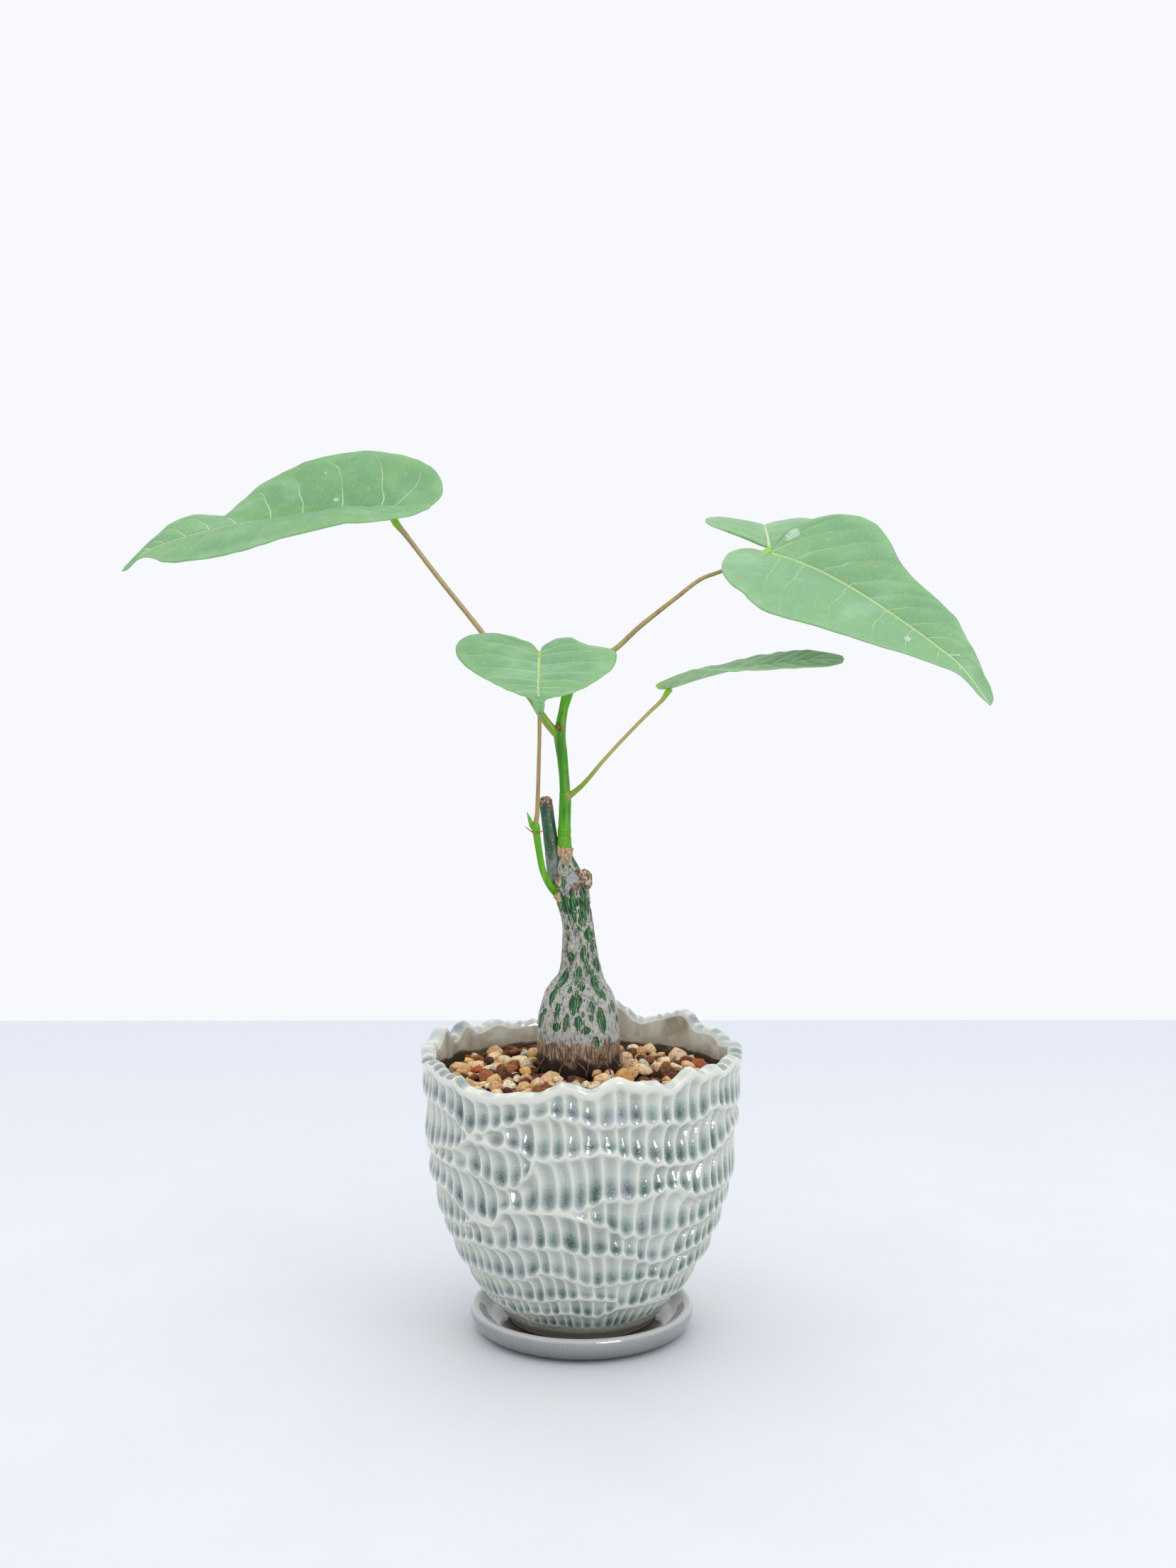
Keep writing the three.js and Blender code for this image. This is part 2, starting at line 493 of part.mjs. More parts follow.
const mainShoot = tube(MAIN_SHOOT, 10, 18).subtract(caudexClear);
addPiece('main_shoot', mainShoot, 0x4fa63a, 0.5);
const sideShoot = STIPULES.reduce((sum, spike) => sum.add(tube(spike, 5, 2)), tube(SIDE_SHOOT, 8, 12));
const scarClear = tube(widened(SCAR, GAP), 10, 3);
addPiece('side_shoot', sideShoot.subtract(caudexClear).subtract(scarClear), 0x5fb046, 0.5);

const mainClear = tube(widened(MAIN_SHOOT, GAP), 10, 18);
const sideClear = tube(widened(SIDE_SHOOT, GAP), 8, 12);
const STALKS = {
  petiole_left: {
    stations: [[-8.2, 1, 218.4, 1.6], [-12.1, 1.4, 222.9, 1.5], [-14.8, 1.8, 226.7, 1.4],
      [-17.1, 2.1, 230.4, 1.25], [-20, 2.5, 234.2, 1.1], [-35.6, 4, 255.4, 0.95], [-50.5, 5, 274.1, 0.9],
      [-62.5, 5.5, 289.8, 0.95], [-66.3, 5.8, 294.6, 1.35], [-67.9, 6, 299.2, 1.5]],
    from: mainClear,
    carries: ['leaf_left'],
  },
  petiole_right: {
    stations: [[-2.2, 3, 243.6, 1.1], [4.4, 3.5, 245.8, 1.1], [11.8, 4, 249.3, 1], [20.2, 4.5, 256.9, 0.9],
      [33.7, 5, 267.6, 0.8], [42.7, 6, 274.3, 0.75], [50, 6.5, 277.1, 0.75], [59.4, 7.4, 281, 0.85],
      [64.8, 8.4, 283, 1.3], [67.6, 9.6, 284.4, 1.5]],
    from: mainClear,
    carries: ['leaflet_right_large', 'leaflet_right_small'],
  },
  petiole_low_right: {
    stations: [[-5.6, 1, 195.9, 1.3], [-2.2, 0.8, 198.6, 1.1], [0.8, 0, 201.4, 0.95], [8.5, -1, 210.6, 0.75],
      [16.3, -2, 219.2, 0.75], [23.8, -3, 227, 0.75], [28.8, -3.6, 231.9, 0.85], [30.3, -3.9, 234.2, 1.1],
      [31.3, -4.1, 236, 1.3]],
    from: mainClear,
    carries: ['leaf_low_right'],
  },
  petiole_front: {
    stations: [[-16.4, -9, 187.6, 1], [-15.8, -9.3, 191.5, 0.85], [-15.5, -10, 198.4, 0.75],
      [-15.1, -11, 210, 0.7], [-14.8, -12, 221.6, 0.7], [-14.8, -12.6, 234.3, 0.75],
      [-14.8, -13, 245.5, 0.95], [-14.8, -13.6, 248.6, 1.1]],
    from: sideClear,
    carries: ['leaf_front'],
  },
};
for (const [name, stalk] of Object.entries(STALKS)) {
  const whole = tube(stalk.stations, 7, 14);
  const clear = stalk.carries.reduce((solid, leaf) => solid.subtract(bladeClear(leaf)), whole);
  addPiece(name, clear.subtract(stalk.from), 0x9c8a4e, 0.5);
}

export default group;
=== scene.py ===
"""A young caudex plant with heart-shaped leaves in a carved, glazed bowl on its saucer."""
import math

import bmesh
import bpy
import numpy as np
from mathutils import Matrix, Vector


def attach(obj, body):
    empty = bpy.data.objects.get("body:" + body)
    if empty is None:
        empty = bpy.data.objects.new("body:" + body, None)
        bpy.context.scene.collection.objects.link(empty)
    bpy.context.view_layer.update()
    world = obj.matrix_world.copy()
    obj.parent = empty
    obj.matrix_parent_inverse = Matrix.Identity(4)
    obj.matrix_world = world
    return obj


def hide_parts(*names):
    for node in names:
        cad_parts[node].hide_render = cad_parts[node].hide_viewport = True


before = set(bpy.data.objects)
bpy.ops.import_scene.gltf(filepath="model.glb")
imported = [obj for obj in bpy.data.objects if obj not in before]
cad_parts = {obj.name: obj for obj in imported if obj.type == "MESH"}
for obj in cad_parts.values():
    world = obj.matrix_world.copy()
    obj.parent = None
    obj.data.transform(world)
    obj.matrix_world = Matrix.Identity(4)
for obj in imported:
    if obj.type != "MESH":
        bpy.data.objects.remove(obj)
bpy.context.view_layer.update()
MM = 0.001


# Camera. A 50 mm lens on a full-frame sensor, three quarters of a metre in front of the bowl and a
# little lower than the leaves, tipped down just enough to look over the bowl's front rim.
EYE = (0, -775.5, 293.2)
EYE_TIP = 6.76
EYE_TURN = -0.17
camera_data = bpy.data.cameras.new("camera")
camera_data.lens = 50
camera_data.sensor_width = 36
camera = bpy.data.objects.new("camera", camera_data)
camera.location = [value * MM for value in EYE]
camera.rotation_euler = (math.radians(90 - EYE_TIP), 0, math.radians(EYE_TURN))
bpy.context.scene.collection.objects.link(camera)
bpy.context.scene.camera = camera


# Saucer. A thick stoneware dish, thrown on a wheel, turned flat underneath and dipped in a grey glaze
# that runs thin and pale over the lip. The bowl's foot stands in it, with a little room all round.
SAUCER_OUTLINE = [(0, 0.4), (31, 0.4), (32, 0), (33.6, 0.1), (37.2, 1.3), (39.4, 3), (40.6, 5.2), (41, 7.2),
                  (40.7, 8.7), (39.9, 9.5), (38.9, 9.6), (37.9, 9), (36.6, 7.6), (35, 6), (33, 4.9),
                  (30.6, 4.3), (28.4, 4.0), (0, 4.0)]
SAUCER_GREY = (145, 147, 147)
SAUCER_DEEP = (134, 137, 139)
SAUCER_SPECK_AND_SHADE = (98, 103, 104)
SAUCER_FOOT_PAINTED_SHADE = (74, 66, 60)
SAUCER_THIN = (188, 190, 187)
SAUCER_GREEN = (142, 153, 147)
SAUCER_CLAY = (150, 120, 96)


def paint(red, green, blue):
    """A colour as read from a screen, 0 to 255, in the linear values that shaders take."""
    def linear(value):
        value /= 255
        return value / 12.92 if value < 0.04045 else ((value + 0.055) / 1.055) ** 2.4
    return (linear(red), linear(green), linear(blue), 1.0)


class Layer:
    """A number or a colour that varies over a surface. What is done with it becomes nodes of its finish."""

    def __init__(self, finish, socket):
        self.finish = finish
        self.socket = socket

    def math(self, operation, *others):
        return self.finish.add("ShaderNodeMath", dict(enumerate((self, *others))), operation=operation)

    def __mul__(self, other):
        return self.math("MULTIPLY", other)

    def __add__(self, other):
        return self.math("ADD", other)

    def __sub__(self, other):
        return self.math("SUBTRACT", other)

    def __abs__(self):
        return self.math("ABSOLUTE")

    def ease(self, low, high, to_low=0.0, to_high=1.0):
        """A smooth step from one value to another as this one goes from low to high."""
        inputs = {"Value": self, "From Min": low, "From Max": high, "To Min": to_low, "To Max": to_high}
        return self.finish.add("ShaderNodeMapRange", inputs, interpolation_type="SMOOTHSTEP")

    def blend(self, first, second, how="MIX"):
        """The first colour, turning into the second by this share."""
        return self.finish.mix(self, first, second, how)

    def wash(self, share, colour, how="MIX"):
        """This colour under a wash of another, laid on by a share."""
        return self.finish.mix(share, self, colour, how)

    def coats(self, washes):
        """This colour under several washes, from the lowest to the uppermost."""
        coated = self
        for wash in washes:
            coated = coated.wash(*wash)
        return coated

    def scale(self, stops):
        """A colour read off a scale of (place, colour) stops."""
        node = self.finish.make_node("ShaderNodeValToRGB", {"Fac": self})
        ramp = node.color_ramp.elements
        while len(ramp) < len(stops):
            ramp.new(0.5)
        for element, (place, colour) in zip(ramp, stops):
            element.position = place
            element.color = paint(*colour)
        return Layer(self.finish, node.outputs["Color"])


class Finish:
    """A surface finish: one Principled shader, and the nodes that feed its colour, roughness and relief."""

    def __init__(self, name, roughness, specular=0.5):
        self.material = bpy.data.materials.new(name)
        self.material.use_nodes = True
        self.nodes = self.material.node_tree.nodes
        self.shader = self.nodes["Principled BSDF"]
        self.shader.inputs["Roughness"].default_value = roughness
        self.shader.inputs["Specular IOR Level"].default_value = specular
        self.place = self.add("ShaderNodeTexCoord", output="Object")

    def feed(self, socket, value):
        """Joins a socket to a layer, or sets it to a plain value."""
        if isinstance(value, Layer):
            self.material.node_tree.links.new(value.socket, socket)
        else:
            socket.default_value = value

    def make_node(self, kind, inputs=(), **settings):
        """A new node with its settings made and its inputs fed."""
        node = self.nodes.new(kind)
        for key, value in settings.items():
            setattr(node, key, value)
        for key, value in dict(inputs).items():
            self.feed(node.inputs[key], value)
        return node

    def add(self, kind, inputs=(), output=0, **settings):
        """One output of a new node, as a layer."""
        return Layer(self, self.make_node(kind, inputs, **settings).outputs[output])

    def mix(self, share, first, second, how):
        pair = [paint(*colour) if isinstance(colour, tuple) else colour for colour in (first, second)]
        inputs = {0: share, 6: pair[0], 7: pair[1]}
        return self.add("ShaderNodeMix", inputs, output=2, data_type="RGBA", blend_type=how)

    def stretched(self, along):
        return self.add("ShaderNodeVectorMath", {0: self.place, 1: along}, operation="MULTIPLY")

    def mottle(self, size, detail=2.0, along=(1, 1, 1)):
        """Cloudy noise with features of about that size in millimetres."""
        inputs = {"Vector": self.stretched(along), "Scale": 1000 / size, "Detail": detail}
        return self.add("ShaderNodeTexNoise", inputs, output="Fac")

    def cells(self, size, feature="F1", along=(1, 1, 1)):
        """Distances in a pattern of cells of that size in millimetres."""
        inputs = {"Vector": self.stretched(along), "Scale": 1000 / size}
        return self.add("ShaderNodeTexVoronoi", inputs, output="Distance", feature=feature)

    def field(self, name):
        """A value that was stored on the mesh."""
        return self.add("ShaderNodeAttribute", output="Fac", attribute_name=name)

    def coordinate(self, axis):
        """Metres to the right, to the back or up, for axis 0, 1 or 2."""
        return self.add("ShaderNodeSeparateXYZ", {0: self.place}, output=axis)

    def height(self):
        """Metres above the table."""
        return self.coordinate(2)

    def distance(self, point):
        """Metres from a point."""
        return self.add("ShaderNodeVectorMath", {0: self.place, 1: point}, output="Value",
                        operation="DISTANCE")

    def finish(self, colour, roughness=None, relief=(), **constants):
        """Sets the colour and roughness, and stacks relief as (height, millimetres) pairs."""
        self.feed(self.shader.inputs["Base Color"], colour)
        if roughness is not None:
            self.feed(self.shader.inputs["Roughness"], roughness)
        normal = None
        for height, depth in relief:
            inputs = {"Height": height, "Distance": depth * MM}
            if normal is not None:
                inputs["Normal"] = normal
            normal = self.add("ShaderNodeBump", inputs)
        if normal is not None:
            self.feed(self.shader.inputs["Normal"], normal)
        for key, value in constants.items():
            self.shader.inputs[key.replace("_", " ").title()].default_value = value
        return self.material


def make_piece(name, points, faces, finishes, slot, node, fields=(), weld=False, domain="POINT"):
    """A smooth mesh from points in millimetres, with named fields of values for its finish to read."""
    mesh = bpy.data.meshes.new(name)
    mesh.from_pydata((np.asarray(points, float) * MM).tolist(), [],
                     [list(map(int, face)) for face in faces])
    for field, values in dict(fields).items():
        layer = mesh.attributes.new(field, "FLOAT", domain)
        layer.data.foreach_set("value", np.asarray(values, np.float32).ravel())
    if weld:
        shape = bmesh.new()
        shape.from_mesh(mesh)
        bmesh.ops.remove_doubles(shape, verts=shape.verts, dist=2e-3 * MM)
        bmesh.ops.dissolve_degenerate(shape, edges=shape.edges, dist=1e-3 * MM)
        shape.to_mesh(mesh)
        shape.free()
    mesh.polygons.foreach_set("use_smooth", [True] * len(mesh.polygons))
    piece = bpy.data.objects.new(name, mesh)
    bpy.context.scene.collection.objects.link(piece)
    for finish in finishes if isinstance(finishes, list) else [finishes]:
        mesh.materials.append(finish)
    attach(piece, "root")
    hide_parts(node)
    return piece


def smooth_line(line, samples):
    """Evenly spaced points along a smooth curve (centripetal Catmull-Rom) through the given ones."""
    line = np.asarray(line, float)
    ends = np.vstack([2 * line[0] - line[1], line, 2 * line[-1] - line[-2]])
    spans = []
    step = np.linspace(0, 1, 40, endpoint=False)[:, None]
    for a, b, c, d in zip(ends, ends[1:], ends[2:], ends[3:]):
        before, here, after = [max(np.linalg.norm(q - p), 1e-6) ** 0.5 for p, q in ((a, b), (b, c), (c, d))]
        leave = here * ((b - a) / before - (c - a) / (before + here) + (c - b) / here)
        arrive = here * ((c - b) / here - (d - b) / (here + after) + (d - c) / after)
        cubic = 2 * b - 2 * c + leave + arrive
        square = 3 * c - 3 * b - 2 * leave - arrive
        spans.append(b + leave * step + square * step ** 2 + cubic * step ** 3)
    dense = np.vstack([*spans, line[-1:]])
    run = np.concatenate([[0], np.cumsum(np.linalg.norm(np.diff(dense, axis=0), axis=1))])
    wanted = np.linspace(0, run[-1], samples)
    return np.column_stack([np.interp(wanted, run, column) for column in dense.T])


def grid_faces(rows, columns, closed=True):
    """Four-sided faces over a grid of points, row by row; closed joins the last column to the first."""
    row, column = np.meshgrid(np.arange(rows - 1), np.arange(columns if closed else columns - 1),
                              indexing="ij")
    here = row * columns + column
    beside = row * columns + (column + 1) % columns
    return np.stack([here, beside, beside + columns, here + columns], axis=-1).reshape(-1, 4)


def turned(outline, sides, samples):
    """Points and faces of a form turned on a wheel: (radius, height) pairs that start and end on the axis."""
    profile = smooth_line(outline, samples)
    turn = np.linspace(0, 2 * np.pi, sides, endpoint=False)
    radius, height = profile[:, :1], profile[:, 1:]
    points = np.stack([radius * np.sin(turn), -radius * np.cos(turn), height + 0 * turn], axis=-1)
    return points.reshape(-1, 3), grid_faces(samples, sides)


saucer_glaze = Finish("saucer_glaze", 0.08)
upward = saucer_glaze.height()
bare = upward.ease(0.0003, 0.0007, 1, 0)
saucer_colour = saucer_glaze.mottle(14, 3)
# Painted shade: a dull brown ring on the saucer floor round where the bowl's foot stands.
saucer_colour = saucer_colour.scale([(0.3, SAUCER_DEEP), (0.55, SAUCER_GREY), (0.75, SAUCER_GREEN)]).coats([
    (saucer_glaze.mottle(0.45, 1).ease(0.55, 0.75) * 0.5, SAUCER_SPECK_AND_SHADE),
    (upward.ease(0.0078, 0.0094) * 0.75, SAUCER_THIN),
    # Painted shade: the glaze darkens towards the bottom of the dish.
    (upward.ease(0.0008, 0.0075, 0.85, 0), SAUCER_SPECK_AND_SHADE),
    # Painted light: the inner slope of the dish is paled.
    (saucer_glaze.field("inner_painted_light"), SAUCER_THIN),
    (saucer_glaze.field("foot_painted_shade"), SAUCER_FOOT_PAINTED_SHADE),
    (bare, SAUCER_CLAY),
])
saucer_points, saucer_faces = turned(SAUCER_OUTLINE, 150, 180)
saucer_out = np.hypot(saucer_points[:, 0], saucer_points[:, 1])
saucer_up = saucer_points[:, 2]
# Painted light: a share for paling the inner slope of the dish.
saucer_inner_painted_light = np.clip((saucer_out - 22) / 6, 0, 1) * (saucer_out < 33.6) * (saucer_up > 3.5) * 0.6
# Painted shade round the bowl's foot.
saucer_foot_painted_shade = np.clip((32 - saucer_out) / 3, 0, 1) * (saucer_out > 20) * (saucer_up > 3) * 0.85
make_piece("saucer_dish", saucer_points, saucer_faces,
           saucer_glaze.finish(saucer_colour, bare.ease(0, 1, 0.08, 0.8),
                               [(saucer_glaze.mottle(3.5, 2), 0.08)],
                               coat_weight=0.4, coat_roughness=0.06),
           "saucer_glaze", "saucer", {"inner_painted_light": saucer_inner_painted_light, "foot_painted_shade": saucer_foot_painted_shade}, weld=True)


# Bowl. Thick-walled stoneware, thrown and then carved all over with a loop tool: bands of scooped flutes,
# each band undercut below the wandering ridge of the one above. The glaze is a celadon that breaks cream
# over the ridges and pools grey-green in the scoops; inside it is plain, and the foot ring is bare clay.
FLUTES = 66
COLUMNS_PER_FLUTE = 10
SCOOP_DEPTH = 1.9
UNDERCUT = 1.6
LIP_WIDTH = 0.4
SCALLOP = 0.8
RIM_ROLL = 2.2
# The strokes curve: how many degrees round the bowl they lean for each millimetre down at their tops, and
# over how many millimetres they straighten. They hook back a little where they end.
STROKE_LEAN = [(-90, 0.5), (-70, 1.3), (-50, 1.7), (-34, 1.15), (-18, 0.7), (0, 0.45), (14, 0), (27, -0.5),
               (41, -1.3), (56, -1.9), (72, -1.7), (90, -0.6)]
STROKE_TURN = 5.5
STROKE_RETURN = 1.1
ENVELOPE = [(4, 26.8), (10, 30.3), (16, 36.3), (24, 42.1), (34, 47.4), (46, 51.8), (60, 55.4), (76, 57),
            (92, 57.6), (106, 58.2), (115, 58.4)]
RIM = [(-180, 105), (-163, 104), (-156, 103.5), (-150, 103), (-143, 106), (-133, 103), (-125, 108.9),
       (-118, 100.7), (-111, 109.7), (-100, 104), (-90, 107), (-78, 102), (-68, 106), (-58, 103),
       (-50, 104), (-45, 100.5), (-38, 100.4), (-30, 100.3), (-22, 102), (-15, 102), (-8, 106), (-4, 106.5),
       (3, 103.3), (12, 108.5), (20, 105), (26, 106), (32, 102.5), (42, 109), (48, 105), (53, 107.5),
       (60, 105), (70, 107), (80, 103), (92, 107), (106, 103.6), (112, 106.5), (118, 106.2), (127, 105.1),
       (134, 111.1), (142, 108.2), (149, 106.3), (155, 104.1), (161, 107.7), (166, 111.6), (180, 105)]
RIDGES = [
    [(-60, 91), (-50, 88.5), (-44, 84), (-32, 88), (-20, 92), (-12, 94.5), (0, 92.5), (5, 90.5), (15, 91.2),
     (30, 90), (44, 88.6), (54, 92), (70, 88.5)],
    [(-70, 74), (-62, 76), (-50, 77.5), (-44, 82.6), (-33, 81.5), (-24, 82), (-17, 78.8), (-5, 80), (8, 82),
     (18, 78.8), (30, 75.5), (45, 74.5), (60, 77), (70, 80)],
    [(-62, 71), (-45, 70.5), (-36, 69.3), (-33, 67.8), (-27, 67.2), (-24, 68.3), (-21, 70.3), (-19, 73.5),
     (-16.5, 77), (-12, 90), (90, 90)],
    [(-60, 60.7), (-48, 54), (-41, 55), (-35, 53), (-30, 59.3), (-10, 60.5), (0, 61.5), (8, 64.8), (20, 64),
     (31, 66.3), (38, 65.3), (45, 61.8), (60, 61)],
    [(-70, 48), (-52, 49), (-46, 52.5), (-35, 51.5), (-30, 58.5), (-10, 59.7), (-3, 58.5), (4, 56),
     (10, 54.5), (15, 51), (25, 49.7), (50, 50), (68, 52)],
    [(-70, 40), (-60, 41), (-50, 43.3), (-33, 43), (-25, 45.5), (-10, 46.3), (-5, 45.8), (0, 43.7),
     (10, 44), (20, 42), (27, 39.2), (33, 38.2), (45, 39.7), (60, 40.5), (70, 42)],
    [(-70, 30), (-60, 31), (-30, 31.5), (-24, 32.5), (-18, 36), (-8, 34.7), (0, 32.3), (4, 31), (20, 31.5),
     (33, 31.8), (38, 29.3), (43, 28.5), (50, 31), (70, 32)],
    [(-60, 19.5), (-50, 20.5), (-38, 22.3), (-20, 23), (-12, 24.8), (0, 25.5), (10, 24.6), (16, 24),
     (19, 20.7), (30, 20.3), (40, 21.3), (50, 21), (60, 19.5), (90, 18)],
    [(-90, 14), (-50, 15.5), (-40, 14.3), (-30, 16.3), (-20, 16.5), (-8, 18.2), (3, 17), (8, 16),
     (14, 18.3), (20, 19.8), (60, 18.5), (90, 17)],
    [(-90, 12), (-40, 12.5), (-33, 10.6), (-15, 11), (3, 10.2), (30, 10.2), (45, 11), (90, 11.5)],
    [(-90, 7.6), (90, 7.6)],
]
ROWS_IN_BAND = [15, 14, 8, 15, 8, 12, 12, 12, 7, 7, 6]
CAVITY = [(6, 11), (24, 11), (30, 16), (38, 26), (44, 38), (48, 52), (50.5, 66), (52, 82), (52.8, 96),
          (53, 102)]
RIM_SECTION = [(53.2, -2.2), (53.45, -0.9), (54.2, -0.15), (55.5, 0.05), (56.7, -0.1), (57.6, -0.6)]
FOOT = [(27.6, 6.4), (27.1, 5.2), (26.8, 4.6), (26.3, 4.3), (22, 4.3), (21, 4.8), (20.9, 7.3), (6.2, 7.3),
        (6, 7.8)]
GLAZE_CREAM = (215, 215, 203)
GLAZE_THIN = (192, 198, 189)
GLAZE_MIST = (161, 172, 167)
GLAZE_GREEN = (108, 134, 121)
GLAZE_GREY = (120, 127, 129)
GLAZE_POOL = (46, 70, 60)
GLAZE_MILK = (176, 181, 190)
GLAZE_FOOT_PAINTED_SHADE = (104, 112, 86)
GLAZE_RUST = (146, 104, 70)
GLAZE_INSIDE = (184, 180, 165)
GLAZE_INSIDE_DARK = (160, 153, 136)
SOIL_STAIN_AND_SHADE = (58, 38, 24)
SOIL_STAIN_AND_SHADE_HEIGHT = 0.1004
# The grains lie this much lower for each millimetre towards the back.
SOIL_SLOPE = 0.045
FOOT_CLAY = (142, 108, 82)

turn = np.linspace(-180, 180, FLUTES * COLUMNS_PER_FLUTE, endpoint=False)
draw = np.random.default_rng(21)


def ease(value, low, high):
    """A smooth step from 0 to 1 as a value goes from low to high."""
    share = np.clip((value - low) / (high - low), 0, 1)
    return share * share * (3 - 2 * share)


def read(pairs, value):
    """A value read off a line through (place, value) pairs."""
    return np.interp(value, *zip(*pairs))


def softened(line, degrees):
    """The same line round the bowl with its corners rounded over that many degrees."""
    steps = np.arange(len(turn))
    away = np.minimum(steps, len(turn) - steps) * 360 / len(turn)
    kernel = np.exp(-0.5 * (away / degrees) ** 2)
    return np.real(np.fft.ifft(np.fft.fft(line) * np.fft.fft(kernel / kernel.sum())))


def flute_edges():
    """Where the flutes of one band begin, in degrees, spaced a little unevenly as a hand does it."""
    jitter = draw.uniform(-0.17, 0.17, FLUTES + 1)
    jitter[[0, -1]] = 0
    return (np.arange(FLUTES + 1) + jitter) * 360 / FLUTES


def flute_places(edges, down, place, band):
    """For points round a band: which flute, how far across it from -1 to 1, and its half width in degrees."""
    sway = 0.1 * np.sin(np.radians(turn * 7) + band)
    lean = read(STROKE_LEAN, mirrored) * min(1, 0.55 + 0.25 * band) + sway
    drift = STROKE_TURN * np.exp(-down / STROKE_TURN) + STROKE_RETURN * place ** 3
    around = (turn[None, :] + lean * drift + 97.3 * band) % 360
    index = np.clip(np.searchsorted(edges, around, side="right") - 1, 0, FLUTES - 1)
    half = (edges[index + 1] - edges[index]) / 2
    return index, (around - edges[index] - half) / half, half


mirrored = np.where(abs(turn) > 90, np.sign(turn) * 180 - turn, turn)
rim_height = softened(read(RIM, turn), 1.9)
rim_index, rim_across, _ = flute_places(flute_edges(), np.zeros((1, len(turn))), 0, 9)
rim_dip = (1 - rim_across[0] ** 2) * draw.uniform(0.2, 1.0, FLUTES)[rim_index[0]]
rim_dip *= 0.35 + 1.0 * ease(abs(turn), 35, 60)

outside, pools, tones, ends = [], [], [], []
upper = rim_height - 0.7 * rim_dip - 1.0
for band, rows in enumerate(ROWS_IN_BAND):
    edges = flute_edges()
    lower = np.minimum(softened(read(RIDGES[band], mirrored), 1.2), upper - 0.25)
    across = flute_places(edges, upper - lower, 1, band)[1][0]
    lower = lower + SCALLOP * (across ** 2 - 0.5) * ease(upper - lower, 1.5, 5) * (band < 10)
    lower = np.minimum(lower, upper - 0.2)
    tall = upper - lower
    spread = (np.arange(rows) / rows)[:, None]
    place = spread * (1.3 - 0.3 * spread)
    down = place * tall
    index, across, half = flute_places(edges, down, place, band)
    height = upper - down
    envelope = read(ENVELOPE, height)
    half_mm = np.radians(half) * envelope
    full = ease(tall, 1.5, 5.5) * (1.0 if band < 10 else 0.35)
    gain = draw.uniform(0.72, 1.08, FLUTES)[index]
    tone = draw.uniform(0, 1, FLUTES)[index]
    end_radius = 0.85 * half_mm
    into_lower = np.maximum(down - (tall - LIP_WIDTH - end_radius), 0) / end_radius
    roll = RIM_ROLL if band == 0 else 0.3
    into_upper = np.maximum(roll + 0.9 * half_mm - down, 0) / (0.9 * half_mm)
    reach = np.hypot(across * 1.07, np.maximum(into_lower, into_upper))
    scoop = np.clip(1 - reach ** (2 + 1.6 * ease(place, 0.35, 0.7)), 0, 1) ** 1.3
    share = scoop * (1 - 0.6 * ease(place, 0.36, 0.7)) * gain * full
    undercut = UNDERCUT * full * ease(down, 0.1, 1.6) * (1 - ease(place, 0.15, 1))
    if band == 0:
        undercut = 0.6 * undercut * ease(down, RIM_ROLL, RIM_ROLL + 1.5)
    radius = envelope + 0.25 - undercut - SCOOP_DEPTH * share
    outside.append(np.stack([radius, height], axis=-1))
    pools.append(np.clip(1.06 - reach, 0, 1) ** 0.8 * gain * full * (0.26 + 0.74 * ease(place, 0.42, 0.76)))
    ends.append(ease(place, 0.74, 0.9) * ease(scoop, 0.1, 0.6) * full)
    tones.append(tone)
    upper = lower
outside, pools, tones, ends = [np.concatenate(part) for part in (outside, pools, tones, ends)]

inside = smooth_line(CAVITY, 16)[:, None, :] + 0 * turn[None, :, None]
wall_share = ease(inside[..., 1], 60, 102)
inside[..., 1] += (rim_height - 2.6 - 102)[None, :] * ease(inside[..., 1], 80, 102)
inside[..., 0] += 0.25 * np.sin(inside[..., 1] * 0.9) * wall_share
section = np.array(RIM_SECTION)[:, None, :] + 0 * turn[None, :, None]
rim_hollow = rim_dip[None, :] * np.array([0.1, 0.3, 0.8, 1.0, 1.0, 1.0])[:, None]
section[..., 1] += rim_height[None, :] - rim_hollow
foot = np.array(FOOT)[:, None, :] + 0 * turn[None, :, None]
loops = np.concatenate([inside, section, outside, foot])
loops = np.concatenate([loops, loops[:1]])
rows = len(loops) - 1
glaze_fields = {name: np.zeros((rows, len(turn))) for name in ("pool", "tone", "lining", "end")}
first = len(inside) + len(section)
glaze_fields["pool"][len(inside):first] = 0.85 * rim_hollow
for name, values in (("pool", pools), ("tone", tones), ("end", ends)):
    glaze_fields[name][first:first + len(outside)] = values
glaze_fields["lining"][:len(inside)] = 1
radians = np.radians(turn)
bowl_points = np.stack([loops[:rows, :, 0] * np.sin(radians), -loops[:rows, :, 0] * np.cos(radians),
                        loops[:rows, :, 1]], axis=-1).reshape(-1, 3)
bowl_faces = grid_faces(rows + 1, len(turn)) % (rows * len(turn))

bowl_glaze = Finish("bowl_glaze", 0.1)
pool = bowl_glaze.field("pool")
cloud = bowl_glaze.mottle(13, 3)
broken = bowl_glaze.mottle(1.6, 3) * 0.5 - 0.25 + (bowl_glaze.mottle(0.42, 2) * 1.6 - 0.8)
pooled = (pool * broken + pool) * bowl_glaze.field("tone").ease(0, 1, 0.7, 1.12)
to_right, to_back, upward = [bowl_glaze.coordinate(axis) for axis in range(3)]
greener = to_right * 6.0 - upward * 2.5 + cloud * 2.4 - 0.55
deep_colour = greener.ease(0.3, 0.75).blend(GLAZE_GREY, GLAZE_GREEN)
shallow = pooled.scale([(0.02, GLAZE_CREAM), (0.1, GLAZE_THIN), (0.26, GLAZE_MIST)])
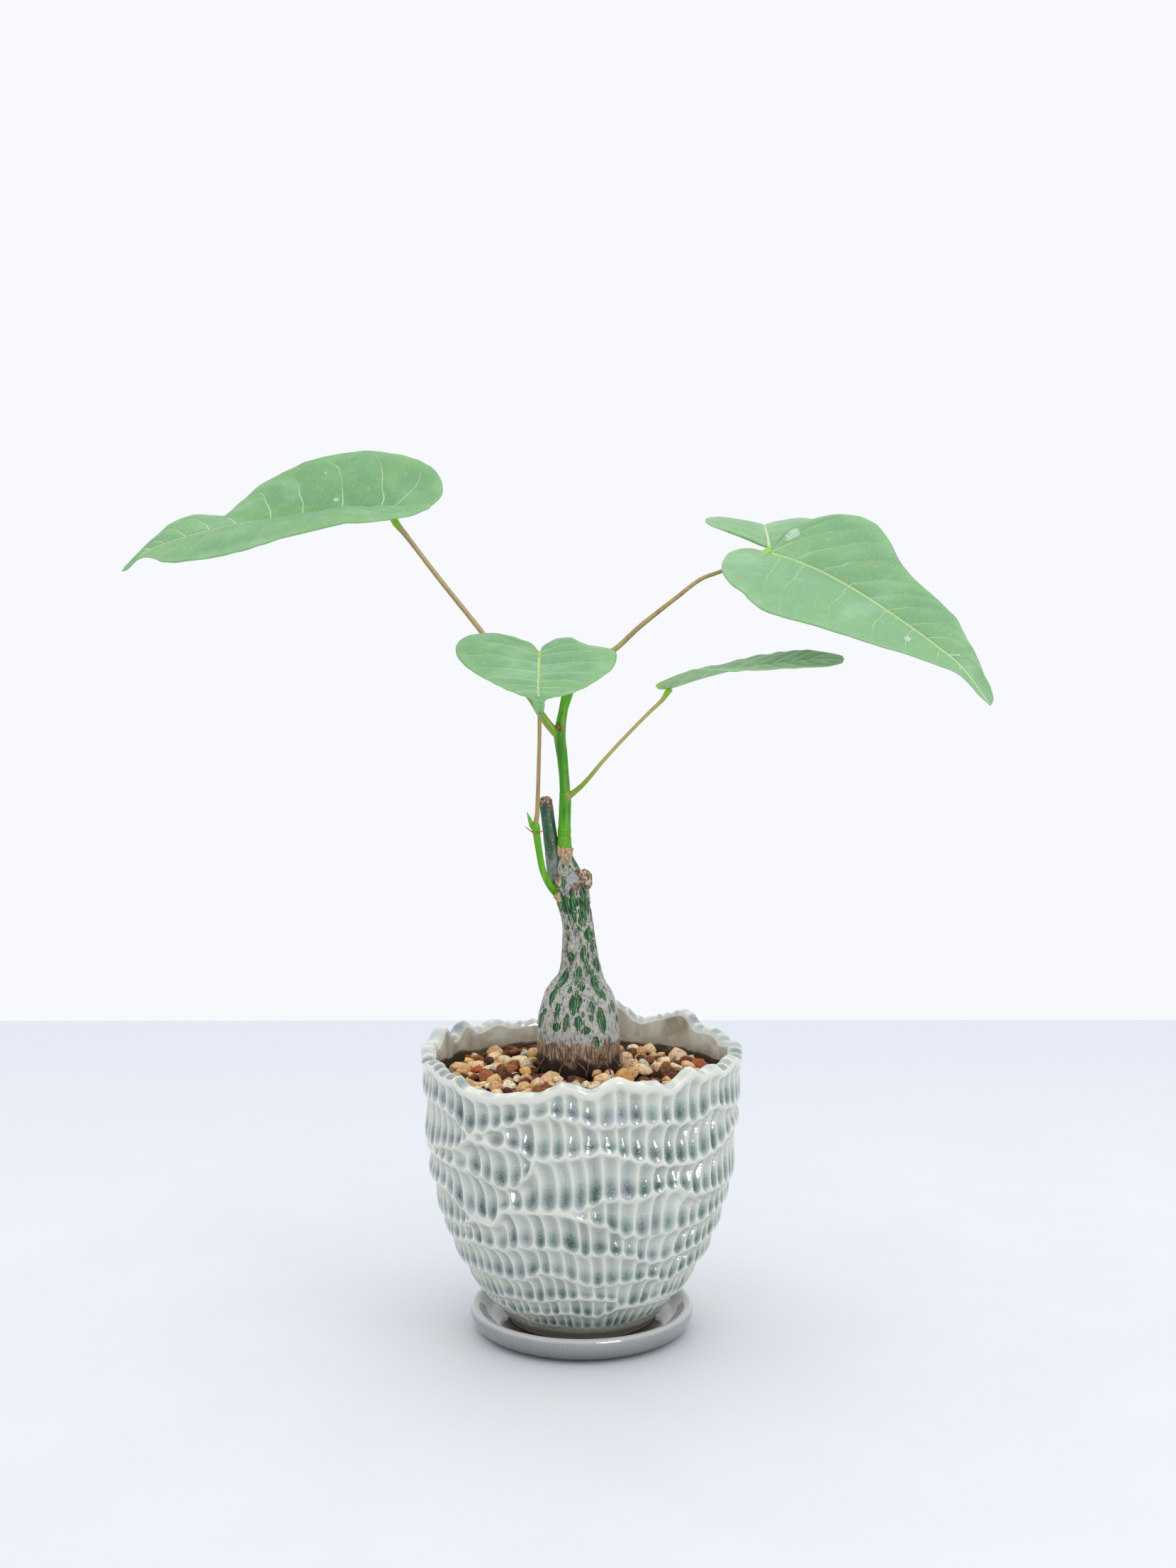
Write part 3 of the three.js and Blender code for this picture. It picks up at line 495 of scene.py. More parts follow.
# Just above the grains the wall is darkened: partly stain from the wet mix, partly painted shade.
stain_and_shade = to_back * SOIL_SLOPE + upward + bowl_glaze.mottle(16, 4) * 0.006
lining = bowl_glaze.mottle(7, 4).ease(0.35, 0.7).blend(GLAZE_INSIDE, GLAZE_INSIDE_DARK).coats([
    (bowl_glaze.cells(11, "DISTANCE_TO_EDGE").ease(0.0, 0.02, 0.3, 0), GLAZE_INSIDE_DARK),
    # Stain and painted shade just above the grains.
    (stain_and_shade.ease(SOIL_STAIN_AND_SHADE_HEIGHT - 0.0006, SOIL_STAIN_AND_SHADE_HEIGHT + 0.0006, 0.9, 0), SOIL_STAIN_AND_SHADE),
])
low = cloud * 0.003 + upward
bare = upward.ease(0.0049, 0.0056, 1, 0)
glaze_colour = shallow.coats([
    (pooled.ease(0.2, 0.6), deep_colour),
    (pooled.ease(0.5, 1.05), GLAZE_POOL),
    (bowl_glaze.field("end") * greener.ease(0.55, 0.2) * 0.75, GLAZE_MILK),
    (bowl_glaze.field("lining"), lining),
    # Painted shade: the glaze is darkened towards the foot.
    (low.ease(0.0085, 0.0145, 0.8, 0), GLAZE_FOOT_PAINTED_SHADE, "MULTIPLY"),
    (low.ease(0.006, 0.007, 0.6, 0), GLAZE_RUST),
    (bare, FOOT_CLAY),
])
pitted = bowl_glaze.mottle(0.8, 2) * pool.ease(0.2, 0.8)
make_piece("carved_bowl", bowl_points, bowl_faces,
           bowl_glaze.finish(glaze_colour, bare.ease(0, 1, 0.08, 0.85),
                             [(bowl_glaze.mottle(2.6, 2), 0.1), (pitted, 0.25)],
                             coat_weight=0.5, coat_roughness=0.04),
           "bowl_glaze", "bowl", glaze_fields)


# Drain net. A square of black plastic mesh laid over the drain hole before the soil goes in. The solid
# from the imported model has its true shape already, so it only gets its moulded finish.
NET_BLACK = (42, 43, 44)
NET_WORN = (74, 74, 72)

net_plastic = Finish("net_plastic", 0.55)
net_colour = net_plastic.mottle(2.5, 3).ease(0.5, 0.75).blend(NET_BLACK, NET_WORN)
net_material = net_plastic.finish(net_colour, relief=[(net_plastic.mottle(0.4, 2), 0.03)])
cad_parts["drain_net"].data.materials.clear()
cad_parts["drain_net"].data.materials.append(net_material)


# Potting mix. Fine dark clay dust and crumbs fill the bowl to a finger below the rim, a little higher at
# the front, and the coarse grains lie on it. It is poured in round the roots and settled by tapping.
MIX_DARK_AND_GAP_SHADE = (24, 12, 7)
MIX_BROWN = (62, 36, 22)
MIX_RADIUS = 52.4
MIX_SINK = 2.6
MOUND_TOP = 3
MOUND_REACH = 30
SOIL_HEIGHT = 94.5
MIX_RINGS = 60
MIX_SIDES = 150
MIX_SIDE_WALL = [(MIX_RADIUS, 80), (50.9, 66), (47.2, 52), (37.2, 26), (23.5, 11.4)]


def unit(vectors):
    """The same directions, one unit long."""
    return vectors / np.linalg.norm(vectors, axis=-1, keepdims=True)


def waves(points, size, seed, count=14):
    """A smooth random field over points, between about -1 and 1, with bumps of that size in millimetres."""
    chance = np.random.default_rng(seed)
    heading = unit(chance.normal(size=(count, 3)))
    pace = 2 * np.pi / (size * chance.uniform(0.8, 1.6, count))
    offset = chance.uniform(0, 2 * np.pi, count)
    return np.sin(points @ (heading * pace[:, None]).T + offset).sum(axis=-1) / (0.6 * count)


def soil_level(x, y):
    """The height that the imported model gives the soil: mounded at the caudex and tipped up to the front."""
    return SOIL_HEIGHT + MOUND_TOP * np.exp(-(x * x + y * y) / MOUND_REACH ** 2) - SOIL_SLOPE * y


def end_caps(rows, columns):
    """One face over each end of a closed grid of points."""
    return [list(range(columns))[::-1], list(range((rows - 1) * columns, rows * columns))]


mix_turn = np.linspace(0, 2 * np.pi, MIX_SIDES, endpoint=False)
mix_radius = MIX_RADIUS * np.linspace(0.02, 1, MIX_RINGS)[:, None]
mix_x = mix_radius * np.cos(mix_turn)
mix_y = mix_radius * np.sin(mix_turn)
mix_top = np.stack([mix_x, mix_y, soil_level(mix_x, mix_y) - MIX_SINK], axis=-1)
mix_top[..., 2] += 0.5 * waves(mix_top, 4, 3) + 0.3 * waves(mix_top, 1.8, 4)
mix_side = np.array([[(r * np.cos(a), r * np.sin(a), z) for a in mix_turn] for r, z in MIX_SIDE_WALL])
mix_points = np.concatenate([mix_top, mix_side]).reshape(-1, 3)
mix_rows = MIX_RINGS + len(MIX_SIDE_WALL)
mix_faces = [*grid_faces(mix_rows, MIX_SIDES)[:, ::-1].tolist(), *end_caps(mix_rows, MIX_SIDES)]

potting_mix = Finish("potting_mix", 0.95, 0.2)
mix_colour = potting_mix.mottle(1.2, 4).ease(0.4, 0.75).blend(MIX_DARK_AND_GAP_SHADE, MIX_BROWN)
make_piece("potting_mix", mix_points, mix_faces,
           potting_mix.finish(mix_colour, relief=[(potting_mix.mottle(1.0, 4), 0.6)]), "grit", "soil")


# Grains. Graded pumice, hard-fired clay and a few amber stones, about 3 to 7 mm across, heaped loose over
# the mix two or three deep, so that they lie in each other's hollows and against the wall.
GRAIN_TRIES = 4600
GRAIN_LIMIT = 560
GRAIN_RADII = [1.9, 2.6, 3.1, 3.7]
GRAIN_SHARES = [0.18, 0.27, 0.32, 0.23]
HEAP_REACH = 51.6
HEAP_HEIGHT = 4.4
WALL_GAP = 1.6
CAUDEX_CLEAR = 15
GRAIN_LOBES = 7
GRAIN_FLATS = 11
PUMICE_SHARE = 0.54
CLAY_SHARE = 0.4
PUMICE_TINTS = [(0.0, (238, 226, 200)), (0.25, (236, 206, 158)), (0.5, (224, 182, 126)),
                (0.7, (200, 148, 96)), (0.88, (230, 198, 158)), (0.96, (172, 172, 156)),
                (1.0, (218, 216, 204))]
CLAY_TINTS = [(0.0, (40, 19, 10)), (0.35, (78, 40, 22)), (0.7, (118, 62, 34)), (0.92, (146, 84, 46)),
              (1.0, (172, 74, 34))]
AMBER_TINTS = [(0.0, (186, 124, 66)), (0.5, (212, 158, 84)), (0.8, (222, 180, 106)), (1.0, (160, 118, 68))]
PUMICE_SPECK = (44, 38, 34)
RUBBED = (160, 112, 70)
GRAIN_DUST = (240, 230, 208)

draw = np.random.default_rng(8)
heap = np.zeros((0, 4))
for _ in range(GRAIN_TRIES):
    if len(heap) >= GRAIN_LIMIT:
        break
    size = draw.choice(GRAIN_RADII, p=GRAIN_SHARES) * draw.uniform(0.88, 1.12)
    spot_reach = (HEAP_REACH - size * 0.8) * math.sqrt(draw.uniform())
    spot_turn = draw.uniform(0, 2 * math.pi)
    x, y = spot_reach * math.cos(spot_turn), spot_reach * math.sin(spot_turn)
    if spot_reach > HEAP_REACH - WALL_GAP - size and y > 8:
        continue
    bare = 2.5 * math.exp(-((x + 1) / 6) ** 2) if y < 0 else 0
    if math.hypot(x + 1, y) < CAUDEX_CLEAR + size * 0.75 + bare:
        continue
    floor_height = soil_level(x, y) - MIX_SINK
    rest = floor_height + 0.5 * size
    if len(heap):
        apart = np.hypot(heap[:, 0] - x, heap[:, 1] - y)
        touch = 0.86 * (heap[:, 3] + size)
        near = apart < touch
        if near.any():
            rest = max(rest, (heap[near, 2] + 0.75 * np.sqrt(touch[near] ** 2 - apart[near] ** 2)).max())
    if rest - floor_height > HEAP_HEIGHT:
        continue
    heap = np.vstack([heap, [x, y, rest, size]])


def joined(parts):
    """Several forms as one: their points, and their faces counted on."""
    starts = np.cumsum([0] + [len(points) for points, _ in parts])
    faces = [np.asarray(corners) + start for (_, form), start in zip(parts, starts) for corners in form]
    return np.concatenate([points for points, _ in parts]), faces


def round_form(fineness):
    """Points and faces of a ball of evenly spread triangles, one unit in radius."""
    shape = bmesh.new()
    bmesh.ops.create_icosphere(shape, subdivisions=fineness, radius=1)
    points = np.array([vertex.co[:] for vertex in shape.verts])
    faces = np.array([[vertex.index for vertex in face.verts] for face in shape.faces])
    shape.free()
    return points, faces


def grain_form(ball, spot, lobes, pits):
    """One grain: a lumpy ball worn flat on several sides, set down at its place and turned."""
    heading = unit(draw.normal(size=(GRAIN_LOBES, 3)))
    swell = draw.uniform(-lobes, lobes, GRAIN_LOBES)
    form = 1.12 + (np.exp(5 * (ball @ heading.T - 1)) * swell).sum(axis=1)
    points = ball * form[:, None]
    flats = unit(draw.normal(size=(GRAIN_FLATS, 3)))
    for facing, reach in zip(flats, draw.uniform(0.66, 0.95, GRAIN_FLATS)):
        past = np.maximum(points @ facing - reach, 0)
        points = points - 0.86 * past[:, None] * facing
    points = points * (1 - pits * np.clip(waves(ball, 0.5, int(spot[3] * 1e5), 18) - 0.3, 0, 1))[:, None]
    points = points * (1.06, draw.uniform(0.76, 1.0), draw.uniform(0.66, 0.9))
    tip = draw.uniform(-0.6, 0.6, 2)
    spin = draw.uniform(0, 2 * math.pi)
    for first_axis, second_axis, angle in ((1, 2, tip[0]), (0, 2, tip[1]), (0, 1, spin)):
        c, s = math.cos(angle), math.sin(angle)
        a, b = points[:, first_axis].copy(), points[:, second_axis].copy()
        points[:, first_axis] = c * a - s * b
        points[:, second_axis] = s * a + c * b
    return points * spot[3] + spot[:3]


ball, coarse_ball = round_form(4), round_form(3)
kinds = {"pumice_grains": [], "clay_grains": [], "amber_grains": []}
for spot in heap:
    pick = draw.uniform()
    kind = "pumice_grains" if pick < PUMICE_SHARE else "clay_grains"
    if pick > PUMICE_SHARE + CLAY_SHARE:
        kind = "amber_grains"
    lobes, pits = (0.3, 0.12) if kind == "pumice_grains" else (0.22, 0.05)
    seen = spot[2] > soil_level(spot[0], spot[1]) + 0.6 and spot[3] > 2.2
    points, faces = ball if seen else coarse_ball
    form = grain_form(points, spot, lobes, pits)
    deep = ease(spot[2] - form[:, 2], -0.1 * spot[3], 0.7 * spot[3])
    kinds[kind].append((form, faces, draw.uniform(), deep))


def grain_finish(name, tints, dust, pore):
    """Pores, rubbed patches and pale dust on top, and the lower half darkened with the mix colour: painted
    shade in the gaps, and some clinging mix.
    """
    finish = Finish(name, 0.9, 0.25)
    hole = finish.cells(0.8).ease(0.18, 0.32, 1, 0) * finish.mottle(1.6, 2).ease(0.42, 0.54)
    shade_and_clinging = finish.mottle(1.2, 3) * 0.9 + finish.field("buried") - 0.45
    colour = finish.field("tint").scale(tints).coats([
        (finish.mottle(1.9, 4).ease(0.4, 0.72) * 0.4, RUBBED),
        (finish.mottle(0.8, 3).ease(0.5, 0.72) * dust, GRAIN_DUST),
        (hole * pore, PUMICE_SPECK),
        # Painted shade on the lower half of each grain, with some clinging mix.
        (shade_and_clinging.ease(0.08, 0.55, 0, 0.95), MIX_DARK_AND_GAP_SHADE),
    ])
    return finish.finish(colour, relief=[(finish.mottle(0.9, 4), 0.5), (hole * -1.0, 0.25)])


grain_looks = {
    "pumice_grains": grain_finish("pumice", PUMICE_TINTS, 0.3, 0.95),
    "clay_grains": grain_finish("fired_clay", CLAY_TINTS, 0.05, 0.4),
    "amber_grains": grain_finish("amber_grain", AMBER_TINTS, 0.15, 0.4),
}
for kind, grains in kinds.items():
    grain_points, grain_faces = joined([grain[:2] for grain in grains])
    tints = np.concatenate([np.full(len(grain[0]), grain[2]) for grain in grains])
    buried = np.concatenate([grain[3] for grain in grains])
    make_piece(kind, grain_points, grain_faces, grain_looks[kind], "grit", "soil",
               {"tint": tints, "buried": buried})


# Caudex. The swollen, water-storing base of the trunk. Its skin is a grey papery bark that splits into
# upright lens-shaped windows of green living skin as it swells, and is brown and fibrous near the soil.
CAUDEX = [(60, -1, 1.5), (68, -1, 3.6), (78, -1, 7), (87, -1, 11.2), (96, -1, 14), (101.5, -1, 14.8),
          (108, -1.1, 15.1), (113, -1.2, 14.9), (118, -1.2, 14.3), (122, -1, 13.3), (126, -1, 11.8),
          (129, -1, 9.8), (131.5, -0.5, 8.2), (135.5, -0.4, 7.1), (142, -0.8, 6.3), (151, -1.5, 5.7),
          (156, -2.5, 5.9), (161, -3.2, 6.2), (166, -3.9, 5.9), (170, -4.6, 4.4), (174, -5.6, 3.1),
          (177.3, -6, 2.7)]
CAUDEX_ROWS = 320
CAUDEX_SIDES = 190
# Windows in the bark: degrees round from the front, height, half width and half length in millimetres.
WINDOWS = [(-47, 131, 1.6, 4.2), (-52, 125.3, 1.2, 3.2), (-68, 116, 1.6, 3.2), (-35, 120.8, 0.9, 2.8),
           (-33, 115, 1.3, 1.7), (-18, 117, 0.8, 3.5), (-6, 124, 1.8, 4.4), (-7, 133, 1.3, 3.1),
           (5, 129.4, 1.1, 1.7), (0, 117.2, 1.1, 2.5), (11, 114.4, 1.3, 1.4), (21, 122.2, 0.8, 2.5),
           (19, 118.5, 0.6, 1.4), (38, 130, 1.3, 5.2), (36, 117.3, 1.5, 4.9), (26, 109.8, 0.6, 2.5),
           (66, 121.2, 1.1, 2.3), (23, 135, 0.9, 2), (41, 147.2, 1.3, 2.8), (16, 140.2, 1.0, 3.6),
           (57, 142.5, 1.3, 2.8), (-48, 145.4, 1.0, 2.3), (-31, 139.3, 1.0, 2), (19, 156.4, 2.3, 5),
           (-3, 159.2, 0.9, 3.1), (40, 162.3, 1.3, 2.5), (-58, 158.7, 1.6, 3.3), (-28, 166.3, 0.8, 2.4),
           (73, 156.2, 1.4, 2.5), (-46, 150, 0.8, 1.4), (11, 150.2, 0.8, 1.7), (59, 136.3, 1.2, 2.8),
           (-18, 128.1, 0.6, 1.1), (6, 120, 0.4, 1.2), (-61, 119.5, 1.0, 1.3), (49, 125.9, 0.8, 2),
           (74, 116.3, 1.0, 1.7), (35, 155.1, 0.9, 3.3), (58, 172, 1.0, 3.4), (-70, 174, 0.7, 2.6),
           (-24, 172.5, 0.4, 2.4), (-25, 157, 1.6, 5.2), (4, 162.5, 1.2, 2.6), (52, 158.5, 1.2, 4.2),
           (-45, 161, 1.1, 2.6), (3, 153, 1.1, 3.2)]
BACK_WINDOWS = 34
WINDOW_SPREAD = 1.4
NECK_SPREAD = 1.3
BARK_GREY = (166, 170, 172)
BARK_NECK = (92, 98, 84)
BARK_SHADE = (84, 80, 70)
BARK_FIBRE = (204, 196, 180)
TEAR_POINT = (-0.0057, -0.0029, 0.1741)
TEAR_TAN = (196, 164, 126)
BARK_BROWN = (140, 116, 94)
BARK_DRY = (184, 166, 146)
BARK_UMBER = (84, 62, 46)
BARK_WET = (48, 27, 17)
WINDOW_GREEN = (36, 98, 50)
WINDOW_DARK = (20, 62, 38)
WINDOW_STREAK = (104, 172, 76)
WINDOW_PAPER = (202, 210, 194)
BROWN_LINE = (0.1085, 0.1105)
WET_LINE = (0.1012, 0.1044)


def around_stem(rows, sides):
    """Points on a grid round upright rings: (height, middle x, middle y, radius) for each row."""
    angle = np.linspace(0, 2 * np.pi, sides, endpoint=False)
    height, middle_x, middle_y, radius = [column[:, None] for column in rows.T]
    return np.stack([middle_x + radius * np.sin(angle), middle_y - radius * np.cos(angle),
                     height + 0 * angle], axis=-1)


caudex_line = smooth_line([(z, x, 0, r) for z, x, r in CAUDEX], CAUDEX_ROWS)
caudex_points = around_stem(caudex_line, CAUDEX_SIDES)
caudex_turn = np.degrees(np.linspace(0, 2 * np.pi, CAUDEX_SIDES, endpoint=False))[None, :]
caudex_height = caudex_line[:, :1] + 0 * caudex_turn
caudex_radius = caudex_line[:, 3:] + 0 * caudex_turn
draw = np.random.default_rng(5)
windows = list(WINDOWS)
for _ in range(BACK_WINDOWS):
    window_height = draw.uniform(110, 164)
    windows.append((draw.uniform(85, 275), window_height, draw.uniform(0.6, 1.4), draw.uniform(1.6, 4.6)))
window_field = np.zeros_like(caudex_height)
streak_field = np.full_like(caudex_height, 2.0)
for degrees, height, half_width, half_length in windows:
    sideways = (caudex_turn - degrees + 180) % 360 - 180
    lean = 0.12 * np.sign((degrees + 180) % 360 - 180) * (height < 135)
    offset = np.radians(sideways) * caudex_radius + lean * (caudex_height - height)
    along = (caudex_height - height) / half_length
    spread = WINDOW_SPREAD * (NECK_SPREAD if 136 < height < 152 else 1)
    width_here = spread * half_width * np.clip(1 - along ** 2, 0, 1)
    inside_lens = np.where(width_here > 0.05, 1 - abs(offset) / np.maximum(width_here, 0.05), 0)
    better = inside_lens > window_field
    window_field = np.where(better, inside_lens, window_field)
    streak_field = np.where(better, offset, streak_field)
bark_mm = 0.3 * (1 - ease(window_field, 0.0, 0.35)) + 0.12 * waves(caudex_points * (1, 1, 0.3), 1.6, 13)
bark_mm += 0.35 * waves(caudex_points * (1, 1, 0.4), 11, 14)
bark_mm *= ease(caudex_line[:, :1], 90, 104) * ease(-caudex_line[:, :1], -177, -172)
outward = np.stack([np.sin(np.radians(caudex_turn)) + 0 * caudex_height,
                    -np.cos(np.radians(caudex_turn)) + 0 * caudex_height, 0 * caudex_height], axis=-1)
caudex_points = caudex_points + outward * (bark_mm - 0.25)[..., None]
caudex_points = caudex_points.reshape(-1, 3)
caudex_faces = [*grid_faces(CAUDEX_ROWS, CAUDEX_SIDES).tolist(), *end_caps(CAUDEX_ROWS, CAUDEX_SIDES)]


def bark_finish(name):
    """Grey papery bark over green living skin, with brown, wet fibres towards the soil."""
    bark = Finish(name, 0.85, 0.3)
    window = bark.field("window")
    metres = bark.height()
    neck = metres.ease(0.122, 0.14)
    strands = bark.mottle(0.9, 4, (1, 1, 0.25))
    fibres = bark.mottle(0.55, 4, (1, 1, 0.16))
    fine = bark.mottle(0.4, 3, (1, 1, 0.4))
    cracks = bark.mottle(1.3, 4, (1, 1, 0.4)).ease(0.57, 0.66, 0, 0.7)
    net = bark.cells(1.7, "DISTANCE_TO_EDGE", (1, 1, 0.36))
    woven = net.ease(0.02, 0.12, 1, 0) * bark.mottle(3, 3).ease(0.35, 0.6)
    tangle = bark.cells(0.85, "DISTANCE_TO_EDGE", (1, 1, 0.42)).ease(0.03, 0.13, 0.75, 0)
    tangle = tangle * bark.mottle(1.4, 3).ease(0.42, 0.58)
    grey = strands.scale([(0.33, BARK_SHADE), (0.44, BARK_GREY), (0.7, BARK_FIBRE)]).coats([
        (neck * 0.85, strands.scale([(0.4, BARK_NECK), (0.56, BARK_GREY), (0.7, BARK_FIBRE)])),
        # Painted shade: the gaps between the woven fibres of the neck are darkened.
        (net.ease(0.1, 0.35) * neck.ease(0, 1, 0.0, 0.55), BARK_SHADE),
        (woven * neck.ease(0, 1, 0.5, 0.85), BARK_FIBRE),
        (tangle * neck, BARK_FIBRE),
        (fine.ease(0.5, 0.66, 0, 0.35), BARK_SHADE),
        (cracks, BARK_SHADE),
    ])
    opened = (window + (strands * 0.5 - 0.25)).ease(0.03, 0.14)
    offset = abs(bark.mottle(1.8, 2) * 0.5 + bark.field("streak") - 0.25)
    torn = bark.mottle(1.7, 2, (1, 1, 0.4)).ease(0.48, 0.56)
    green = bark.mottle(1.5, 3, (1, 1, 0.3)).ease(0.4, 0.65).blend(WINDOW_DARK, WINDOW_GREEN).coats([
        (offset.ease(0.06, 0.26, 0.65, 0) * window.ease(0.3, 0.6), WINDOW_STREAK),
        (abs(offset - 0.85).ease(0.05, 0.14, 0.9, 0) * torn, WINDOW_PAPER),
        (woven * torn * neck, BARK_FIBRE),
    ])
    line = metres + (bark.mottle(5, 3) * 0.012 - 0.006)
    # Below the main shoot the bark is torn to a brown point.
    tear = bark.mottle(0.9, 3) * 0.0016 + bark.distance(TEAR_POINT)
    brown = fibres.scale([(0.38, BARK_UMBER), (0.52, BARK_BROWN), (0.7, BARK_DRY)])
    colour = grey.coats([
        (line.ease(*BROWN_LINE, 1, 0), brown),
        (line.ease(*WET_LINE, 1, 0), BARK_WET),
        (opened, green),
        (tear.ease(0.0022, 0.0029, 0.9, 0), fibres.scale([(0.38, BARK_BROWN), (0.56, TEAR_TAN)])),
    ])
    relief = [(strands - cracks, 0.4), (woven, 0.2), (fine, 0.15)]
    return bark.finish(colour, opened.ease(0, 1, 0.85, 0.36), relief)


bark_material = bark_finish("bark")
make_piece("caudex_bark", caudex_points, caudex_faces, bark_material, "bark", "caudex",
           {"window": window_field, "streak": streak_field})


# Pruned stub and branch scar. Both grew from the caudex and are where branches were cut off: the stub is
# last year's green shoot with a dried, brown cut end, and the scar is a callused knot with a flat grey face.
STUB = [(-8, 1, 162, 2.8), (-9.4, 1.2, 169, 3.0), (-10.55, 1.8, 177, 2.75), (-11.8, 2.4, 186, 2.45),
        (-12.9, 2.9, 194.4, 2.3), (-13.15, 3, 195.9, 2.05), (-13.2, 3, 196.3, 1.5)]
# The callus round the scar: for each lump its middle, its radii, and the flat that it was cut to, as a
# direction and a share of its radius.
CALLUS_LUMPS = [
    ((-3.1, -4.4, 167.4), (3, 2.8, 2.7), (-0.2, -0.95, 0.25), 0.6),
    ((0.5, -3.4, 167.6), (3.2, 3.4, 2.9), (0, 0, 1), 1.5),
    ((1.6, -3.6, 166.2), (2.3, 2.6, 2.3), (0, 0, 1), 1.5),
    ((-0.8, -3.8, 169.6), (1.7, 2, 1.4), (0, 0, 1), 1.5),
    ((-2.7, -4, 164.6), (2.4, 2.3, 2.5), (0, -1, 0.1), 0.95),
    ((-8.3, -2.1, 166), (2, 2.9, 3.1), (0, 0, 1), 1.5),
]
STUB_GREEN = (48, 92, 60)
STUB_DARK = (28, 64, 40)
STUB_DOT = (130, 160, 124)
STUB_PITH = (146, 110, 88)
DRY_BROWN = (128, 92, 70)
DRY_PALE = (206, 188, 164)
SCAR_GREY = (160, 164, 168)
CALLUS_DARK = (84, 58, 40)
CALLUS_CREAM = (200, 184, 160)
STUB_BARK_LINE = (0.1815, 0.1835)


def swept(stations, sides, samples, relief=None):
    """Points and faces of a capped stem along a smooth curve through (x, y, z, radius) stations."""
    line = smooth_line(stations, samples)
    along = unit(np.gradient(line[:, :3], axis=0))
    sideways = unit(np.cross((0, 1, 0), along))
    upward = np.cross(along, sideways)
    angle = np.linspace(0, 2 * np.pi, sides, endpoint=False)[None, :, None]
    spokes = np.cos(angle) * sideways[:, None, :] + np.sin(angle) * upward[:, None, :]
    rings = line[:, None, :3] + spokes * line[:, None, 3:]
    if relief is not None:
        share = np.linspace(0, 1, samples)[:, None] + 0 * angle[..., 0]
        rings = rings + spokes * relief(rings, share)[..., None]
    points = np.vstack([rings.reshape(-1, 3), line[:1, :3], line[-1:, :3]])
    start, end = len(points) - 2, len(points) - 1
    last = (samples - 1) * sides
    caps = [(start, side, (side + 1) % sides) for side in range(sides)]
    caps += [(end, last + (side + 1) % sides, last + side) for side in range(sides)]
    faces = [*grid_faces(samples, sides)[:, ::-1].tolist(), *caps]
    share = np.concatenate([np.repeat(np.linspace(0, 1, samples), sides), [0, 1]])
    return points, faces, share


def make_stem(name, stations, sides, samples, finish, slot, node, relief=None):
    """A piece swept along its stations."""
    make_piece(name, *swept(stations, sides, samples, relief)[:2], finish, slot, node)


def stub_relief(rings, share):
    """A raised ring where the living bark ends, and the shrunken end beyond it."""
    ridge = 0.22 * np.exp(-((share - 0.945) / 0.01) ** 2) - 0.2 * ease(share, 0.95, 0.985)
    crumbled = 0.1 * waves(rings, 1.2, 32) * ease(share, 0.93, 0.96)
    return ridge + 0.08 * waves(rings * (1, 1, 0.3), 1.5, 31) + crumbled


stub_points, stub_faces, stub_share = swept(STUB, 48, 110, stub_relief)
stub_skin = Finish("stub_skin", 0.5)
share = stub_skin.field("share")
# The bark has died back from the cut in a ring, and further down in a strip on the right.
ragged = stub_skin.mottle(1.5, 3, (1, 1, 0.4)) * 0.06 - 0.03
dried = (stub_skin.field("strip") * 0.1 + share + ragged).ease(0.928, 0.94)
dry = stub_skin.mottle(0.9, 4).scale([(0.36, CALLUS_DARK), (0.5, DRY_BROWN), (0.68, DRY_PALE)])
# Near its base the stub has grown the same grey bark as the caudex.
barky = (stub_skin.mottle(2.2, 4, (1, 1, 0.5)) * 0.012 + stub_skin.height()).ease(*STUB_BARK_LINE, 0.4, 0)
grey_bark = stub_skin.mottle(0.9, 4, (1, 1, 0.3))
grey_bark = grey_bark.scale([(0.4, BARK_NECK), (0.54, BARK_GREY), (0.7, BARK_FIBRE)])
stub_colour = stub_skin.mottle(1.6, 3, (1, 1, 0.25)).ease(0.35, 0.65).blend(STUB_DARK, STUB_GREEN).coats([
    (stub_skin.cells(1.1, along=(1, 1, 0.6)).ease(0.12, 0.2, 0.8, 0), STUB_DOT),
    (dried, dry),
    (share.ease(0.985, 0.997), STUB_PITH),
    (barky, grey_bark),
])
stub_strip = np.clip(1 - np.hypot(stub_points[:, 0] + 10.9, (stub_points[:, 1] - 1.2) * 0.8) / 1.6, 0, 1)
make_piece("pruned_stub", stub_points, stub_faces,
           stub_skin.finish(stub_colour, dried.ease(0, 1, 0.45, 0.9),
                            [(stub_skin.mottle(0.7, 3, (1, 1, 0.4)), 0.15)]),
           "bark", "caudex", {"share": stub_share, "strip": stub_strip})


callus_lumps, callus_flat = [], []
callus_ball, callus_ball_faces = round_form(5)
for middle, radii, facing, reach in CALLUS_LUMPS:
    rough = 0.12 * waves(callus_ball + middle, 0.9, 33) + 0.1 * waves(callus_ball + middle, 0.35, 34)
    form = callus_ball * (1 + rough)[:, None]
    facing = unit(np.array(facing))
    past = np.maximum(form @ facing - reach, 0)
    form = form - 0.92 * past[:, None] * facing
    callus_lumps.append((form * radii + middle, callus_ball_faces))
    callus_flat.append(ease(past, 0.01, 0.06) * (reach < 0.9))
callus_skin = Finish("callus_skin", 0.85, 0.3)
flaky = callus_skin.mottle(0.8, 5, (1, 0.6, 0.5))
flaky = flaky.scale([(0.36, CALLUS_DARK), (0.46, DRY_BROWN), (0.54, CALLUS_CREAM), (0.7, BARK_FIBRE)])
cut_face = callus_skin.mottle(0.8, 4).ease(0.5, 0.7, 0, 0.5).blend(SCAR_GREY, BARK_SHADE)
